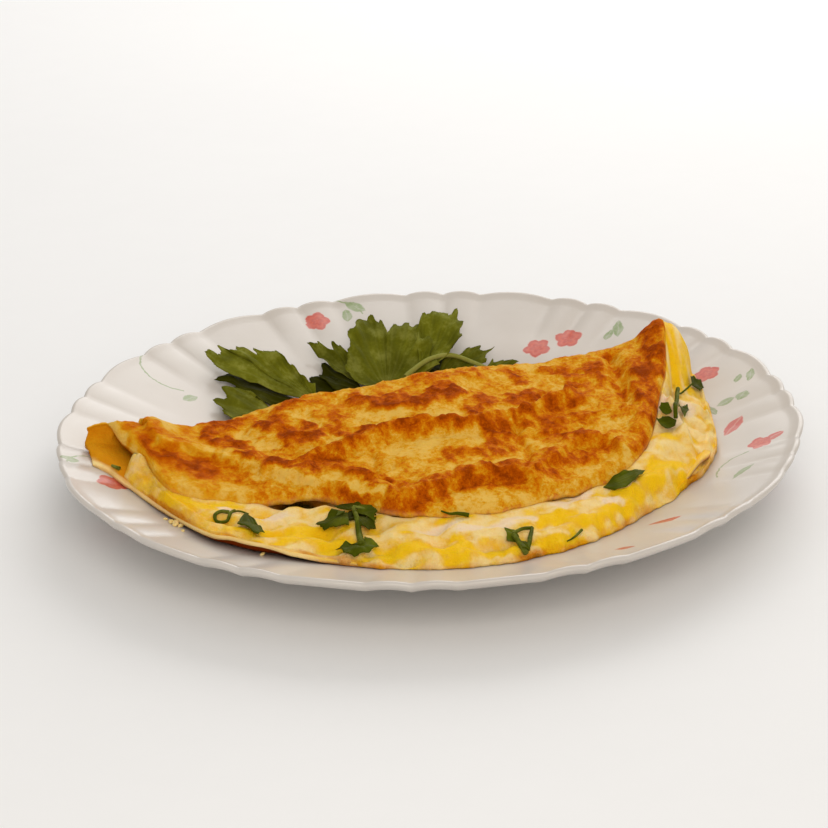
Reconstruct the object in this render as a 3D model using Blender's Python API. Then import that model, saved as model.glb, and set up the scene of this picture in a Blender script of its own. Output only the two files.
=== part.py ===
"""A folded omelette on a scalloped plate, garnished with flat parsley, as solids in metres with +Z up.

Origin: the centre of the plate's foot, on the surface the plate stands on. The plate's axis is +Z, and the
omelette's open side faces -Y. The sheet of egg is one folded solid, the soft egg inside it is a second, and
every leaf is a thin solid of its own.
"""

import math

import bmesh
import bpy
import numpy as np
from mathutils import Vector
from mathutils.bvhtree import BVHTree

MM = 0.001

# ------------------------------------------------------------------ plate
RIM_RADIUS = 130.0
RIM_HEIGHT = 24.0
FOOT_OUTER, FOOT_INNER = 74.0, 69.0
WALL = 3.0
# The inside of the plate, from its centre out: radius and height.
INSIDE = [(0, 4.3), (60, 4.35), (72, 4.8), (80, 6.6), (87, 9.4), (94, 12.0), (110, 17.2), (125, 22.2)]
LOBE_GROUPS = 14
GROUP_PHASE = math.radians(16.2)
BIG_LOBE_SHARE = 0.49
BIG_LOBE_SWELL, SMALL_LOBE_SWELL = 1.5, 0.75
NOTCH_DEPTH = 0.55
SCALLOP_START = 92.0
FLUTE_SWELL = 0.45

# ------------------------------------------------------------------ omelette
# Places on the omelette are (along, out): along the fold to the right, and out from the fold to the open side.
FOLD_TURN = math.radians(14.0)
FOLD_MIDDLE = (-16.0, 22.0)
LEFT_END, RIGHT_END = -107.0, 114.5
SHEET = 3.2
REST_GAP = 0.6
SEAT_GAP = 0.4
BRIDGE_GAP = 0.7
# The lower half's outline: how far out its edge lies along the fold.
OUTLINE = [(-107, 15), (-104, 19), (-101, 25), (-95, 40), (-88, 58), (-81, 72), (-70, 85), (-55, 97), (-41, 106),
           (-23, 116), (-8, 121.5), (8, 124), (27, 119.5), (42, 113.5), (61, 101), (74, 92), (87, 84), (96, 76),
           (102, 65), (107, 53), (111, 38), (114.5, 22)]
# The fold: its crest's height along its length, and how far its back bulges.
CREST = [(-110, 26.0), (-97, 29.2), (-84, 27.2), (-67, 23.4), (-52, 24.8), (-34, 28.6), (0, 31.2),
         (18, 33.0), (50, 31.4), (80, 33.0), (94, 35.5), (104, 42.4), (112, 37.4), (118, 29.0)]
CREST_OUT = 3.0
BACK_BULGE = 8.0
# The free edge of the folded-over half: how far out it lies, and the height of its underside.
FLAP_REACH = [(-110, 4), (-97, 5), (-94, 17), (-90, 35), (-85.5, 50), (-79, 58), (-66, 62.5), (-52, 63.5), (-38, 69),
              (-17, 90), (0, 97), (35, 93), (60, 84), (78, 65), (90, 32), (100, 9), (110, 4.5), (118, 4)]
FLAP_UNDERSIDE = [(-110, 24.0), (-92, 21.5), (-62, 17.5), (-30, 19.0), (0, 20.0), (60, 20.5), (80, 24.5),
                  (92, 31.0), (100, 37.5), (106, 38.5), (118, 27.0)]
# The soft egg between the halves.
EGG_LEFT, EGG_RIGHT = -90.5, 111.0
EGG_SHY = 2.2
EGG_LIP = 1.8
OPEN_END_TOP = 25.0

# ------------------------------------------------------------------ parsley
LEAF_THICK = 0.8
LEAF_CLEAR = 0.45
# Garnish leaves: heart x, y, heading in degrees, length, half width, lobes each side, rest height, lift of the tip.
GARNISH = {
    "parsley_leaf_left": (-60.5, 67.5, 152.0, 25.0, 17.0, 2, 3.6, 3.0),
    "parsley_leaf_low": (-66.5, 49.5, 176.0, 13.0, 12.0, 1, 1.1, 1.2),
    "parsley_leaf_middle": (-15.0, 82.0, 84.0, 26.0, 30.0, 3, 1.6, 5.0),
    "parsley_leaf_right": (23.0, 78.5, 32.0, 14.0, 9.0, 1, 1.1, 2.0),
}
# Leaves in the egg: place along and out, heading from the fold's line, length, half width, lobes on each side.
HERBS = {
    "herb_cluster": (-35.0, 89.5, 10.0, 9.5, 5.0, 2),
    "herb_hanging": (-34.5, 100.5, -80.0, 6.5, 6.5, 1),
    "herb_left": (-66.0, 81.5, -40.0, 5.5, 3.2, 1),
    "herb_front": (15.0, 114.0, -60.0, 5.2, 4.2, 1),
    "herb_oval": (62.0, 89.0, 14.0, 7.0, 2.6, 0),
    "herb_right": (92.0, 56.0, -110.0, 5.5, 3.6, 1),
}

# ------------------------------------------------------------------ colours
PLATE_WHITE = (0.78, 0.74, 0.68)
CRUST_GOLD = (0.62, 0.30, 0.05)
SOFT_YELLOW = (0.86, 0.62, 0.16)
PARSLEY_GREEN = (0.08, 0.13, 0.02)


def smooth(value):
    """0 below 0, 1 above 1 and an even S between."""
    held = np.clip(value, 0.0, 1.0)
    return held * held * (3 - 2 * held)


def through(points, value):
    """A smooth curve through a few (place, height) points, read at value."""
    places, heights = np.array(points, float).T
    slopes = np.gradient(heights, places)
    spans = np.clip(np.searchsorted(places, value, side="right") - 1, 0, len(places) - 2)
    width = places[spans + 1] - places[spans]
    share = np.clip((value - places[spans]) / width, 0.0, 1.0)
    ease = share * share * (3 - 2 * share)
    lead = share * (1 - share) ** 2 * width * slopes[spans]
    tail = -share * share * (1 - share) * width * slopes[spans + 1]
    return heights[spans] * (1 - ease) + heights[spans + 1] * ease + lead + tail


# ------------------------------------------------------------------ plate
def scallop(angle):
    """(swell of the rim's outline, share of the way to a lobe's crown) at an angle: one wide lobe, then two narrow ones."""
    place = ((angle - GROUP_PHASE) / (2 * math.pi) * LOBE_GROUPS) % 1.0
    narrow = (1 - BIG_LOBE_SHARE) / 2
    wide = place < BIG_LOBE_SHARE
    share = np.where(wide, place / BIG_LOBE_SHARE, ((place - BIG_LOBE_SHARE) % narrow) / narrow)
    crown = np.sin(math.pi * share) ** 0.8
    return crown * np.where(wide, BIG_LOBE_SWELL, SMALL_LOBE_SWELL) - NOTCH_DEPTH, crown


def plate_height(radius):
    """The height of the plate's inside, flutes left out."""
    radius = np.asarray(radius, float)
    slope = (RIM_HEIGHT - INSIDE[-1][1]) / (RIM_RADIUS - INSIDE[-1][0])
    beyond = INSIDE[-1][1] + slope * (radius - INSIDE[-1][0])
    return np.where(radius < INSIDE[-1][0], through(INSIDE, np.minimum(radius, INSIDE[-1][0])), beyond)


def rim_angles():
    """The plate's radial lines: four to a wide lobe and two to a narrow one, with one in every notch."""
    group = 2 * math.pi / LOBE_GROUPS
    shares = [BIG_LOBE_SHARE * k / 4 for k in range(4)]
    shares += [BIG_LOBE_SHARE + (1 - BIG_LOBE_SHARE) * k / 4 for k in range(4)]
    return np.array([GROUP_PHASE + group * (g + s) for g in range(LOBE_GROUPS) for s in shares])


def plate_profile():
    """(radius, height) from the inside's centre, out over the lip and back under the foot to the base's centre."""
    inside = [(r, float(plate_height(r))) for r in (0, 60, 72, 80, 87, 94, 110, 124)]
    lip = [(RIM_RADIUS - 1.6, RIM_HEIGHT), (RIM_RADIUS, RIM_HEIGHT - 0.9), (RIM_RADIUS - 1.0, RIM_HEIGHT - 2.6)]
    under = [(r, float(plate_height(r)) - WALL) for r in (110, 94, 86)]
    foot = [(FOOT_OUTER + 2.5, 1.6), (FOOT_OUTER, 0.0), (FOOT_INNER, 0.0), (FOOT_INNER - 2.0, 1.5), (0, 1.5)]
    return inside + lip + under + foot


def add_object(name, points, faces, colour, roughness):
    """One named solid from points in millimetres, with its own material."""
    mesh = bpy.data.meshes.new(name)
    mesh.from_pydata([tuple(float(c) * MM for c in p) for p in points], [], faces)
    tidy = bmesh.new()
    tidy.from_mesh(mesh)
    bmesh.ops.remove_doubles(tidy, verts=tidy.verts, dist=0.00002)
    bmesh.ops.recalc_face_normals(tidy, faces=tidy.faces)
    tidy.to_mesh(mesh)
    tidy.free()
    mesh.shade_smooth()
    made = bpy.data.objects.new(name, mesh)
    bpy.context.scene.collection.objects.link(made)
    material = bpy.data.materials.new(name)
    material.use_nodes = True
    shader = material.node_tree.nodes["Principled BSDF"]
    shader.inputs["Base Color"].default_value = (*colour, 1.0)
    shader.inputs["Roughness"].default_value = roughness
    shader.inputs["Metallic"].default_value = 0.0
    mesh.materials.append(material)
    return made


def build_plate():
    """The turned plate: its rim's outline swells into lobes, and its rim is fluted to match."""
    angles = rim_angles()
    profile = plate_profile()
    swell, crown = scallop(angles)
    count = len(angles)
    points, rings = [], []
    for radius, height in profile:
        reach = float(smooth((radius - SCALLOP_START) / (RIM_RADIUS - SCALLOP_START)))
        if radius == 0:
            rings.append([len(points)] * count)
            points.append((0.0, 0.0, height))
            continue
        rings.append(list(range(len(points), len(points) + count)))
        out = radius + swell * reach
        lift = height + (crown - 0.5) * FLUTE_SWELL * reach
        points += list(zip(out * np.cos(angles), out * np.sin(angles), lift))
    faces = []
    for inner, outer in zip(rings, rings[1:]):
        for k in range(count):
            n = (k + 1) % count
            faces.append([v for v in dict.fromkeys((inner[k], outer[k], outer[n], inner[n]))])
    return add_object("plate", points, faces, PLATE_WHITE, 0.12)


# ------------------------------------------------------------------ omelette
def to_plate(along, out):
    """(x, y) of a place on the omelette."""
    turn_x, turn_y = math.cos(FOLD_TURN), math.sin(FOLD_TURN)
    return FOLD_MIDDLE[0] + along * turn_x + out * turn_y, FOLD_MIDDLE[1] + along * turn_y - out * turn_x


def under_face(along, out):
    """The height of the sheet's lower face, which follows the plate's inside."""
    x, y = to_plate(along, out)
    return plate_height(np.hypot(x, y)) + REST_GAP


def outline_reach(along):
    """How far out the lower half's edge lies."""
    return float(through(OUTLINE, np.float64(along)))


def flap_reach(along):
    """How far out the folded-over half reaches."""
    return float(through(FLAP_REACH, np.float64(along)))


def flap_middle(along, out):
    """The height of the folded-over half's middle, from the crest out to its free edge."""
    crest = through(CREST, np.float64(along)) - SHEET / 2
    edge = through(FLAP_UNDERSIDE, np.float64(along)) + SHEET / 2
    reach = max(flap_reach(along) - CREST_OUT, 0.5)
    share = np.clip((np.asarray(out, float) - CREST_OUT) / reach, 0.0, 1.0)
    edge = min(edge, crest)
    return crest - (crest - edge) * (0.7 * share + 0.3 * share ** 3)


def sheet_path(along):
    """The sheet's middle line (out, height) at one place: along the plate, up the fold and out over the top."""
    edge = outline_reach(along) - 0.5
    floor = float(under_face(along, CREST_OUT)) + SHEET / 2
    crest = float(flap_middle(along, CREST_OUT))
    half = (crest - floor) / 2
    bulge = min(BACK_BULGE, half * 0.9)
    turn_out = CREST_OUT + min(3.0, half * 0.3)
    line = []
    for share in np.linspace(0, 1, 8)[:-1] ** 1.15:
        out = edge + (turn_out - edge) * share
        line.append((out, float(under_face(along, out)) + SHEET / 2))
    for k in range(7):
        angle = math.pi * (k / 6 - 0.5)
        base = turn_out + (CREST_OUT - turn_out) * k / 6
        start = float(under_face(along, turn_out)) + SHEET / 2
        low = start + (floor - start) * k / 6
        height = (low + crest) / 2 + (crest - low) / 2 * math.sin(angle)
        line.append((base - bulge * math.cos(angle) ** 0.9, height))
    reach = max(flap_reach(along), CREST_OUT + 1.5)
    for share in np.linspace(0, 1, 8)[1:]:
        out = CREST_OUT + (reach - CREST_OUT) * share
        line.append((out, float(flap_middle(along, out))))
    return np.array(line)


def loft(name, sections, colour, roughness):
    """A closed solid through sections of (along, [(out, height) up one side], [the same on the other side])."""
    points, loops = [], []
    for along, outer, inner in sections:
        loops.append((len(points), len(outer)))
        for out, height in list(outer) + list(inner):
            x, y = to_plate(along, out)
            points.append((x, y, height))
    faces = []
    count = 2 * loops[0][1]
    half = loops[0][1]
    order = list(range(half)) + list(range(count - 1, half - 1, -1))
    for (a, _), (b, _) in zip(loops, loops[1:]):
        for k in range(count):
            i, j = order[k], order[(k + 1) % count]
            faces.append((a + i, a + j, b + j, b + i))
    for start, _ in (loops[0], loops[-1]):
        for k in range(half - 1):
            faces.append((start + k, start + k + 1, start + half + k + 1, start + half + k))
    return add_object(name, points, faces, colour, roughness)


def stations(left, right, count):
    """Places along the fold, closer together towards both ends."""
    turn = np.linspace(-math.pi / 2, math.pi / 2, count) * 0.94
    return (left + right) / 2 + (right - left) / 2 * np.sin(turn) / math.sin(math.pi / 2 * 0.94)


def build_sheet():
    """The folded sheet of egg: one solid that runs along the plate, round the fold and out over the top."""
    sections = []
    for along in stations(LEFT_END, RIGHT_END, 36):
        line = sheet_path(along)
        run = np.gradient(line, axis=0)
        run /= np.linalg.norm(run, axis=1)[:, None]
        across = np.stack([run[:, 1], -run[:, 0]], axis=1) * (SHEET / 2)
        sections.append((along, line + across, line - across))
    return loft("omelette", sections, CRUST_GOLD, 0.5)


def egg_faces(along, out):
    """(lowest, highest) height of the soft egg at a place."""
    low = under_face(along, out) + SHEET + SEAT_GAP + BRIDGE_GAP
    reach = flap_reach(along)
    lid = flap_middle(along, np.minimum(out, reach)) - SHEET / 2 * 1.2 - SEAT_GAP
    open_end = float(smooth((along - 84.0) / 12.0))
    cap = 60.0 + (OPEN_END_TOP - 60.0) * open_end
    start = min(float(flap_middle(along, reach)) - SHEET / 2 * 1.2 - SEAT_GAP, cap)
    edge = outline_reach(along) - EGG_SHY
    share = np.clip((np.asarray(out, float) - reach) / max(edge - reach, 1.0), 0.0, 1.0)
    foot = float(under_face(along, edge)) + SHEET + SEAT_GAP + EGG_LIP
    bare = start + (foot - start) * share ** 1.7
    high = np.where(np.asarray(out) < reach, np.minimum(lid, cap), bare)
    return low, np.maximum(high, low + 0.8)


def build_egg():
    """The soft egg, which fills the fold and comes out past the folded-over half to the lower edge."""
    sections = []
    for along in stations(EGG_LEFT, EGG_RIGHT, 30):
        reach = flap_reach(along)
        edge = outline_reach(along) - EGG_SHY
        back = CREST_OUT + 3.5
        reach = min(max(reach, back + 3.0), edge - 4.0)
        outs = np.concatenate([np.linspace(back, reach - 0.4, 5), np.linspace(reach + 0.6, edge, 6)])
        low, high = egg_faces(along, outs)
        sections.append((along, np.stack([outs, low], axis=1), np.stack([outs, high], axis=1)))
    return loft("soft_egg", sections, SOFT_YELLOW, 0.35)


# ------------------------------------------------------------------ parsley
def leaf_outline(length, half_width, lobes):
    """A leaf's outline about its heart, tip towards +X: pointed lobes with notches between, then the stalk."""
    tips = 2 * lobes + 1
    spread = math.radians(118.0) if lobes else math.radians(0.0)
    outline = []
    if not lobes:
        for k in range(14):
            turn = 2 * math.pi * k / 14
            outline.append((length * math.cos(turn), half_width * math.sin(turn)))
        return np.array(outline)
    for k in range(tips):
        turn = -spread + 2 * spread * k / (tips - 1)
        reach = 1.0 / math.hypot(math.cos(turn) / length, math.sin(turn) / half_width)
        step = 2 * spread / (tips - 1)
        for part, share in ((-0.3, 0.86), (-0.12, 0.84), (0.0, 1.0), (0.12, 0.84), (0.3, 0.86)):
            at = turn + part * step
            outline.append((reach * share * math.cos(at), reach * share * math.sin(at)))
        if k < tips - 1:
            at = turn + 0.5 * step
            outline.append((reach * 0.5 * math.cos(at), reach * 0.5 * math.sin(at)))
    stalk = length * 0.95
    outline += [(-length * 0.25, half_width * 0.12), (-stalk, 0.75), (-stalk, -0.75), (-length * 0.25, -half_width * 0.12)]
    return np.array(outline)


def under_tree(*objects):
    """A search tree over everything the leaves may rest on, in millimetres."""
    verts, faces = [], []
    for made in objects:
        start = len(verts)
        verts += [v.co / MM for v in made.data.vertices]
        faces += [[start + i for i in p.vertices] for p in made.data.polygons]
    return BVHTree.FromPolygons(verts, faces, all_triangles=False)


def rest_height(tree, x, y):
    """The height of whatever lies under a place."""
    hit = tree.ray_cast(Vector((x, y, 90.0)), Vector((0, 0, -1)))
    return hit[0].z if hit[0] is not None else 0.0


def build_leaf(name, place, heading, outline, surface):
    """A thin leaf: its outline laid at a place, with its heights from surface(x, y, share out from the heart)."""
    count = len(outline)
    cos_h, sin_h = math.cos(heading), math.sin(heading)
    flat = [(0.0, 0.0, 0.0)]
    for share in (0.5, 1.0):
        flat += [(px * share, py * share, share) for px, py in outline]
    points = []
    for thick in (0.0, LEAF_THICK):
        for px, py, share in flat:
            x = place[0] + px * cos_h - py * sin_h
            y = place[1] + px * sin_h + py * cos_h
            points.append((x, y, surface(x, y, share) + thick))
    faces = []
    size = len(flat)
    for base in (0, size):
        for k in range(count):
            n = (k + 1) % count
            faces.append((base, base + 1 + k, base + 1 + n))
            faces.append((base + 1 + k, base + 1 + count + k, base + 1 + count + n, base + 1 + n))
    for k in range(count):
        n = (k + 1) % count
        low, high = 1 + count, size + 1 + count
        faces.append((low + k, low + n, high + n, high + k))
    return add_object(name, points, faces, PARSLEY_GREEN, 0.55)


def build_garnish():
    """The sprig behind the omelette: each leaf follows the plate and lifts towards its tips."""
    for name, (x, y, heading, length, half_width, lobes, rest, lift) in GARNISH.items():
        outline = leaf_outline(length, half_width, lobes)

        def surface(px, py, share, rest=rest, lift=lift):
            return float(plate_height(math.hypot(px, py))) + rest + lift * share ** 2

        build_leaf(name, (x, y), math.radians(heading), outline, surface)


def build_herbs(tree):
    """Leaves lying in the soft egg: each is level with the egg under it, just clear of it."""
    for name, (along, out, heading, length, half_width, lobes) in HERBS.items():
        outline = leaf_outline(length, half_width, lobes)
        x0, y0 = to_plate(along, out)
        turned = math.radians(heading) + FOLD_TURN
        step = 2.0
        slope_x = (rest_height(tree, x0 + step, y0) - rest_height(tree, x0 - step, y0)) / (2 * step)
        slope_y = (rest_height(tree, x0, y0 + step) - rest_height(tree, x0, y0 - step)) / (2 * step)
        slope_x, slope_y = np.clip([slope_x, slope_y], -0.9, 0.9)
        need = []
        for px, py in outline:
            for share in (0.0, 0.25, 0.5, 0.75, 1.0):
                for swing in (-0.06, 0.0, 0.06):
                    qx, qy = px * share, py * share
                    x = x0 + qx * math.cos(turned + swing) - qy * math.sin(turned + swing)
                    y = y0 + qx * math.sin(turned + swing) + qy * math.cos(turned + swing)
                    need.append(rest_height(tree, x, y) - slope_x * (x - x0) - slope_y * (y - y0))
        base = max(need) + LEAF_CLEAR

        def surface(px, py, share, base=base, sx=slope_x, sy=slope_y, cx=x0, cy=y0):
            return base + sx * (px - cx) + sy * (py - cy)

        build_leaf(name, (x0, y0), turned, outline, surface)


def main():
    for old in list(bpy.data.objects):
        bpy.data.objects.remove(old)
    plate = build_plate()
    sheet = build_sheet()
    egg = build_egg()
    build_garnish()
    build_herbs(under_tree(plate, sheet, egg))


main()
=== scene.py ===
"""The looks of a folded omelette on a scalloped plate with flat parsley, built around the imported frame.

Shapes are worked out in millimetres on the frame's own axes and become metres when a mesh is made. A place
on the omelette is (along, out): along the fold to the right, and out from the fold towards its open side.
"""

import math

import bmesh
import bpy
import numpy as np
from mathutils import Matrix, Vector


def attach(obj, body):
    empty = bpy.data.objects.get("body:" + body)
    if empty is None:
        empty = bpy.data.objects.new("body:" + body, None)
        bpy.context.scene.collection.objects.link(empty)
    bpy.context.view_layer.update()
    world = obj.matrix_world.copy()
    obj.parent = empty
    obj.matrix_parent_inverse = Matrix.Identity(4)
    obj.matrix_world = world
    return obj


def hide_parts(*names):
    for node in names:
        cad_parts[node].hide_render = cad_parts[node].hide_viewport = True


bl_info = {
    "name": "Folded omelette on a plate",
    "version": (1, 0, 0),
    "blender": (4, 5, 0),
    "location": "3D View > Sidebar > Omelette",
    "description": "Models a folded omelette with soft egg and parsley on a scalloped, sprigged plate",
    "category": "Add Mesh",
}

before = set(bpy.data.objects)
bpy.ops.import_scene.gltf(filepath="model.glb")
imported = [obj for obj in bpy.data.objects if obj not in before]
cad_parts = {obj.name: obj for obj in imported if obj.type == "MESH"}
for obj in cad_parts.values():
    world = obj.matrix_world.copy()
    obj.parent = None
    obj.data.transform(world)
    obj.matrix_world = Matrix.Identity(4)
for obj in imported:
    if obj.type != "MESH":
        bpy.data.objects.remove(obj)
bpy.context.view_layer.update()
MM = 0.001
BODY = "root"
FULL_TURN = 2 * math.pi

# ------------------------------------------------------------------ the plate, as it is in the frame
RIM_RADIUS = 130.0
RIM_HEIGHT = 24.0
INSIDE = [(0, 4.3), (60, 4.35), (72, 4.8), (80, 6.6), (87, 9.4), (94, 12.0), (110, 17.2), (125, 22.2)]
GROUP_PHASE = math.radians(16.2)
WIDE_SHARE = 0.49
NOTCH_DEPTH = 0.55
SCALLOP_START = 92.0
# The foot ring and the base inside it: radius, height.
FOOT = [(76.5, 1.7), (74.3, 0.0), (68.8, 0.0), (67, 1.5), (20, 1.5)]

# ------------------------------------------------------------------ the omelette, as it is in the frame
FOLD_TURN = math.radians(14.0)
FOLD_MIDDLE = (-16.0, 22.0)
LEFT_END, RIGHT_END = -106.0, 114.5
SHEET = 3.2
THIN_EDGE = 0.42
REST_GAP = 0.6
OUTLINE = [
    (-107, 15), (-104, 19), (-101, 25), (-95, 40), (-88, 61.5), (-81, 80.5), (-70, 93.5), (-55, 101),
    (-41, 107), (-23, 116), (-8, 121.5), (8, 124), (27, 119.5), (42, 113.5), (61, 101), (74, 92), (87, 84),
    (96, 76), (102, 65), (107, 53), (111, 38), (114.5, 22),
]
CREST = [
    (-110, 29.6), (-97, 29.8), (-84, 27.2), (-67, 23.4), (-52, 24.8), (-34, 28.6), (0, 31.2), (18, 33.0),
    (50, 31.4), (80, 33.0), (94, 35.5), (105.5, 42.6), (112, 38.4), (118, 29.0),
]
CREST_OUT = 3.0
BACK_BULGE = 8.0
FLAP_REACH = [
    (-110, 1.5), (-98, 4), (-95.5, 10), (-92.5, 19), (-90.4, 27), (-89.2, 37), (-87.4, 46), (-83, 51.5),
    (-77, 56), (-66, 59.5), (-52, 63), (-38, 68), (-17, 90), (0, 97), (35, 93), (60, 84), (78, 65.5),
    (84, 54), (89, 43), (93, 35), (97, 27), (100.5, 17), (103.5, 8), (110, 4.5), (118, 4),
]
FLAP_UNDERSIDE = [
    (-110, 24.0), (-92, 21.5), (-62, 17.5), (-30, 19.0), (0, 20.0), (60, 20.5), (80, 24.5), (88, 27.0),
    (93, 30.0), (97, 32.0), (101, 36.5), (106, 38.5), (118, 27.0),
]
EGG_LEFT, EGG_RIGHT = -98.5, 113.4
OPEN_END_TOP = 23.0
HEAP_TOP = 40.5
# What changes along the fold: where it starts and the length over which it sets in, to the left if below 0.
CALM_CRUST = (-56, -22)
BARE_TUBE = (-84, -8)
SOFT_RIGHT_END = (88, 8)
STEEP_FLAP = (80, 8)
FRONT_EDGE = (-54, 12)
HEAP_START = (91, 8)
# The middle and the width of what swells along the fold.
RAISED_LIP = (-45, 8)
RIGHT_CURL = (93, 8)
# Beyond these places the fold gapes: its wall stops at these shares of its turn and of its height, given for
# the left end and the right end.
GAPE_LEFT, GAPE_RIGHT = -95.5, 103
GAPE_TURNS = (0.62, 0.7)
GAPE_HEIGHTS = (0.9, 0.8)
GAPE_LENGTH = 4
# Steps of the grids: places along, then points round the sheet and out over the egg.
SHEET_STATIONS, EGG_STATIONS = 338, 330
LOW_STEPS, WALL_STEPS, FLAP_STEPS = 34, 44, 138
HIDDEN_STEPS, BARE_STEPS = 20, 100
# The grids behind skip most points: how many to the next one, and how many near an edge are not skipped.
BACK_EVERY, EGG_BACK_EVERY = 4, 5
LOW_EDGE_POINTS, FREE_EDGE_POINTS = 12, 6

# ------------------------------------------------------------------ how the crust is folded and browned
RELIEF_GAIN = 1.2
LEDGE_FOOT = 1.7
# Ledges drop away on their outer side: line of (along, out), height, how far the rise reaches back.
LEDGES = [
    ([(-86, 8), (-83, 20), (-74, 24), (-65, 33), (-56, 44), (-46, 55), (-34, 66), (-25, 81), (-20, 91)],
     2.4, 8.0),
    ([(-38, 47), (-22, 46), (-7, 39), (6, 41), (21, 46), (38, 42), (58, 32)], -1.8, 5.0),
    ([(-13, 88), (-3, 83), (14, 79), (27, 81), (31, 88)], 2.4, 7.0),
    ([(34, 80), (43, 71), (54, 64), (63, 65), (66, 74)], 1.9, 6.0),
]
# Ridges and creases: line, height (below 0 for a crease), half width.
RIDGES = [
    ([(-60, 31), (-44, 46), (-31, 58), (-20, 70), (-15, 85)], 0.9, 3.5),
    ([(-36, 46), (-22, 44), (-7, 38), (6, 40), (21, 44), (38, 41), (58, 31)], 1.3, 2.6),
    ([(45, 40), (58, 33)], 0.9, 2.2),
    ([(50, 49), (60, 48), (76, 50)], 1.1, 1.8),
    ([(88, 10), (85, 30), (82, 46), (76, 60)], 1.2, 3.4),
    ([(98, 6), (95, 20)], 0.9, 3.0),
    ([(33, 90), (45, 88), (56, 83), (66, 74)], 0.8, 3.0),
    ([(-10, 62), (4, 58), (20, 62)], 0.7, 3.0),
    ([(38, 42), (34, 52), (35, 64), (33, 73), (29, 81)], -1.5, 1.3),
    ([(-36, 51), (-22, 51), (-7, 45), (6, 47), (20, 52), (36, 50)], -0.9, 2.0),
    ([(83, 6), (80, 26), (77, 40)], -2.6, 2.4),
    ([(-17, 53), (-19, 66), (-16, 78), (-14, 90)], -1.1, 1.3),
    ([(-26, 60), (-18, 66), (-9, 62)], -0.9, 1.0),
    ([(-25, 71), (-18, 72), (-8, 76)], -0.9, 1.0),
    ([(-22, 84), (-15, 80), (-4, 90)], -0.8, 1.1),
    ([(-12, 91), (0, 87), (14, 84), (26, 86)], -0.9, 1.4),
    ([(40, 57), (52, 55), (66, 58)], -0.8, 1.5),
]
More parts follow.
